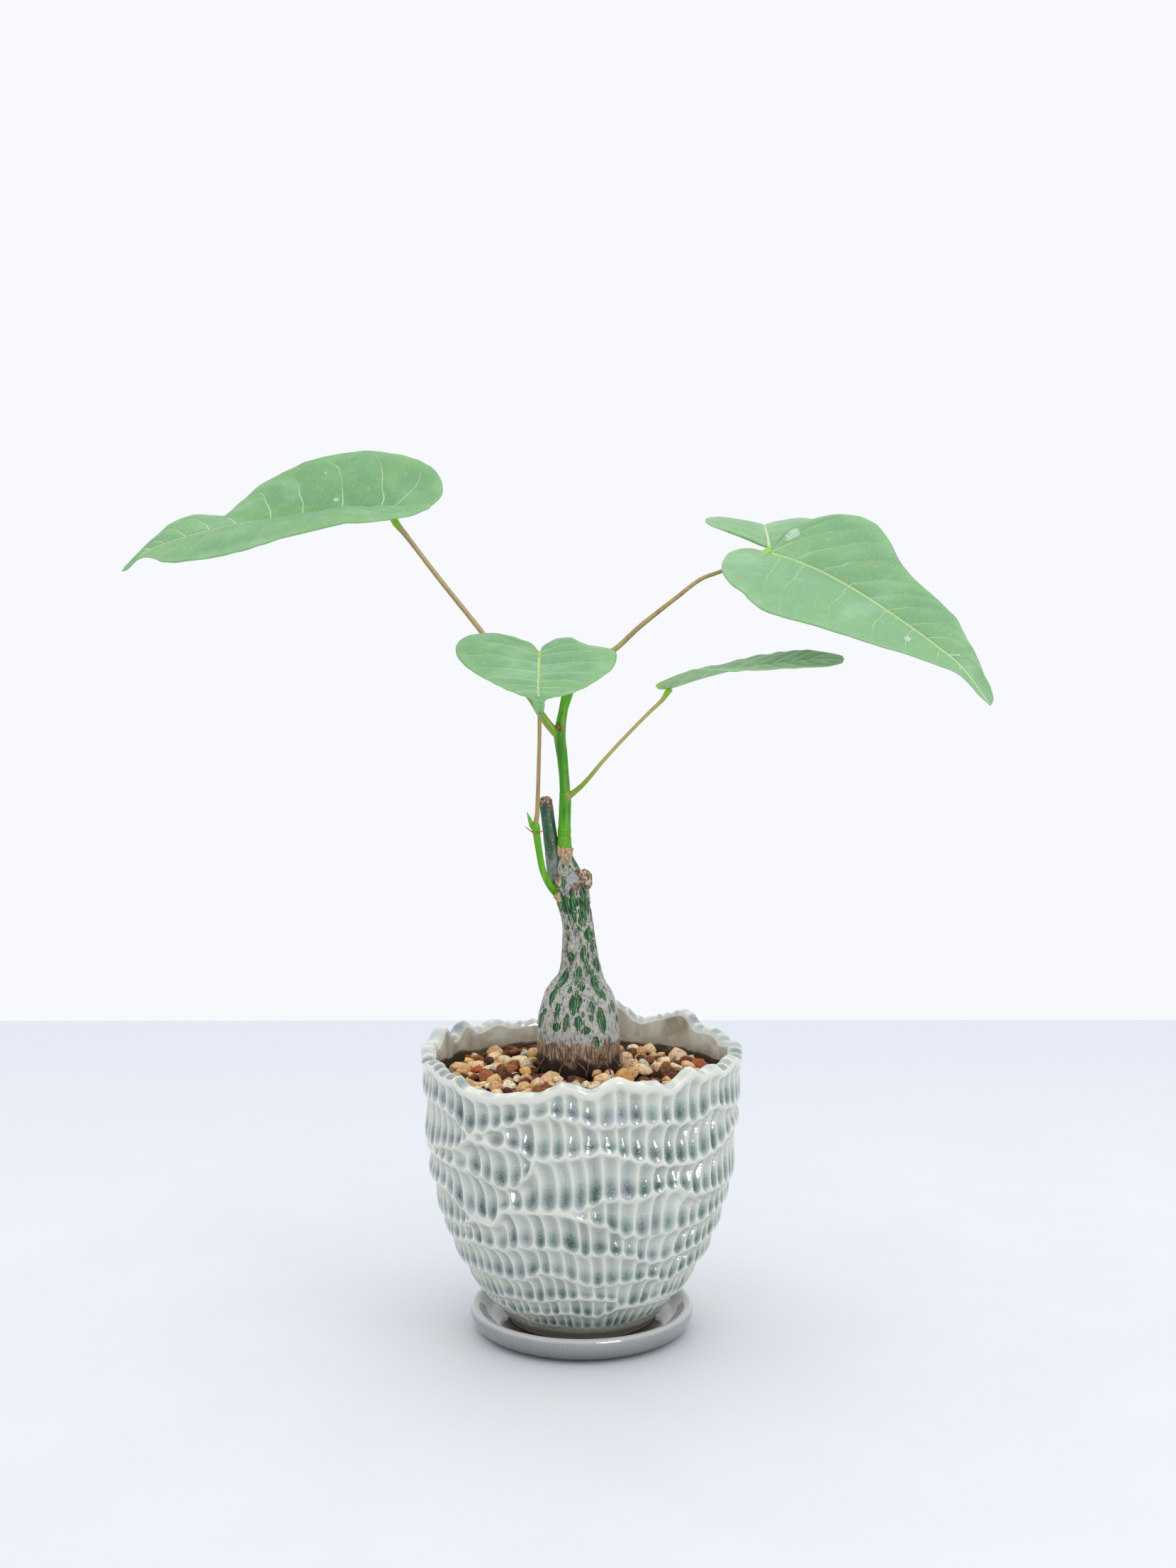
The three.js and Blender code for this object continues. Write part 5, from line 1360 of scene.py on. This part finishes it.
def blade_finish(name, lower):
    """The upper finish of a blade, or the paler lower one."""
    skin = Finish(name, 0.5 if not lower else 0.65, 0.4)
    number, spacing = skin.field("vein"), skin.field("spacing")
    middle, margin = skin.field("middle"), skin.field("margin")
    off_vein = abs(number - number.math("ROUND")) * spacing
    off_minor = abs(number.math("FRACT") - 0.5) * spacing + skin.mottle(5, 3) * 1.2
    vein = (margin.ease(0.0, 0.9, 0.25, 0.14) - off_vein).ease(-0.12, 0.1)
    vein = vein * margin.ease(0.85, 1.0, 0.85, 0.2) * skin.field("clear")
    minor = off_minor.ease(0.3, 0.5, 0.25, 0) * margin.ease(0.6, 0.9, 1, 0)
    net = skin.cells(2.8, "DISTANCE_TO_EDGE").ease(0.015, 0.06, 1, 0)
    net = net * skin.mottle(8, 2).ease(0.4, 0.6, 0.3, 1)
    ridge = (middle - skin.field("rib")).ease(-0.1, 0.08, 1, 0) * skin.field("rib").ease(0.02, 0.1)
    green = skin.mottle(14, 3).ease(0.35, 0.65).blend(BLADE_GREEN, BLADE_BLUE_GREEN)
    if lower:
        green = green.wash(0.65, UNDERSIDE)
    ragged = skin.mottle(1.0, 4) - 0.5
    green = green.coats([
        (margin.ease(0.8, 1.0, 0, 0.3), BLADE_YOUNG),
        (skin.mottle(0.7, 3).ease(0.4, 0.7, 0, 0.2), BLADE_YOUNG),
        # Painted sheen: large pale patches on the blade.
        (skin.mottle(16, 4, (1, 1, 1.6)).ease(0.48, 0.75, 0, 0.4), BLADE_FADE_AND_SHEEN),
        (skin.field("faded"), BLADE_FADE_AND_SHEEN),
        (skin.field("fresh"), BLADE_FRESH),
        (net * 0.16, BLADE_VEIN),
        (minor, BLADE_VEIN),
        (vein * 0.85, BLADE_VEIN),
        (ridge, BLADE_MIDRIB),
        ((skin.field("scuff") + ragged).ease(0.4, 0.65, 0, 0.6), BLADE_SCUFF),
        ((skin.field("burn") + ragged).ease(0.46, 0.62, 0, 0.8), BLADE_SPOT),
        (skin.cells(15, along=(1, 1.3, 0.8)).ease(0.015, 0.03, 0.5, 0), BLADE_SCUFF),
    ])
    raised = 1.0 if lower else -1.0
    relief = [(vein * raised, 0.22), (net * raised, 0.06), (skin.mottle(1.2, 3), 0.03)]
    return skin.finish(green, skin.mottle(6, 2).ease(0.3, 0.7, 0.4, 0.52), relief)


upper_blade = blade_finish("blade_upper", False)
lower_blade = blade_finish("blade_lower", True)
for number, (name, leaf) in enumerate(LEAVES.items()):
    leaf_points, leaf_faces, leaf_fields = blade_mesh(leaf, 70 + 2 * number)
    piece = make_piece(name + "_blade", leaf_points, leaf_faces, [upper_blade, lower_blade], "leaf_blade",
                       name, leaf_fields, weld=True, domain="CORNER")
    body = piece.modifiers.new("thickness", "SOLIDIFY")
    body.thickness = BLADE_THICKNESS * MM
    body.offset = -1
    body.material_offset = 1
    body.material_offset_rim = 1


# Floor and light. A plain pale table whose far edge shows low behind the bowl, in a white room lit from all
# round and a little more from its ceiling, with one soft window at the right that glints in the glaze.
FLOOR_BACK = 499
FLOOR_REACH = 3000
FLOOR_PALE = (209, 212, 215)
FLOOR_FAINT = (207, 210, 214)
FLOOR_FAR_PAINTED_SHADE = (198, 202, 208)
ROOM_WHITE = (248, 249, 253)
CEILING_GLOW = 1.75
LIGHT_TARGET = (0, 0, 120)

floor_mesh = bpy.data.meshes.new("floor")
floor_corners = [(-FLOOR_REACH, -FLOOR_REACH, 0), (FLOOR_REACH, -FLOOR_REACH, 0),
                 (FLOOR_REACH, FLOOR_BACK, 0), (-FLOOR_REACH, FLOOR_BACK, 0)]
floor_mesh.from_pydata([[value * MM for value in corner] for corner in floor_corners], [], [(0, 1, 2, 3)])
floor = bpy.data.objects.new("floor", floor_mesh)
bpy.context.scene.collection.objects.link(floor)
table_top = Finish("table_top", 0.6, 0.3)
table_colour = table_top.mottle(60, 3).ease(0.35, 0.65).blend(FLOOR_PALE, FLOOR_FAINT)
# Painted shade: the table darkens towards its far edge.
table_colour = table_colour.wash(table_top.coordinate(1).ease(0.1, 0.5), FLOOR_FAR_PAINTED_SHADE)
floor_mesh.materials.append(table_top.finish(table_colour))

room = bpy.data.worlds.new("room")
room.use_nodes = True
room_nodes, room_links = room.node_tree.nodes, room.node_tree.links
room_nodes["Background"].inputs["Color"].default_value = paint(*ROOM_WHITE)
upward = room_nodes.new("ShaderNodeSeparateXYZ")
room_links.new(room_nodes.new("ShaderNodeTexCoord").outputs["Generated"], upward.inputs[0])
glow = room_nodes.new("ShaderNodeMapRange")
glow.interpolation_type = "SMOOTHSTEP"
for key, value in {"From Min": 0.28, "From Max": 1.0, "To Min": 1.0, "To Max": CEILING_GLOW}.items():
    glow.inputs[key].default_value = value
room_links.new(upward.outputs[2], glow.inputs["Value"])
room_links.new(glow.outputs[0], room_nodes["Background"].inputs["Strength"])
bpy.context.scene.world = room

# The window's glints are a lamp of their own, which lights nothing and only shows in shiny surfaces.
LIGHTS = {
    "window": {"at": (700, -640, 800), "size": (0.5, 0.6), "power": 1.2, "lights": True},
    "glints": {"at": (500, -860, 660), "size": (0.4, 0.4), "power": 10, "lights": False},
}
for name, light in LIGHTS.items():
    lamp_data = bpy.data.lights.new(name, "AREA")
    lamp_data.shape = "RECTANGLE"
    lamp_data.size, lamp_data.size_y = light["size"]
    lamp_data.energy = light["power"]
    lamp = bpy.data.objects.new(name, lamp_data)
    lamp.location = [value * MM for value in light["at"]]
    aim = np.array(LIGHT_TARGET) - light["at"]
    lamp.rotation_euler = Vector(aim).to_track_quat("-Z", "Y").to_euler()
    lamp.visible_diffuse = light["lights"]
    lamp.visible_glossy = not light["lights"]
    bpy.context.scene.collection.objects.link(lamp)
bpy.context.scene.view_settings.view_transform = "Standard"
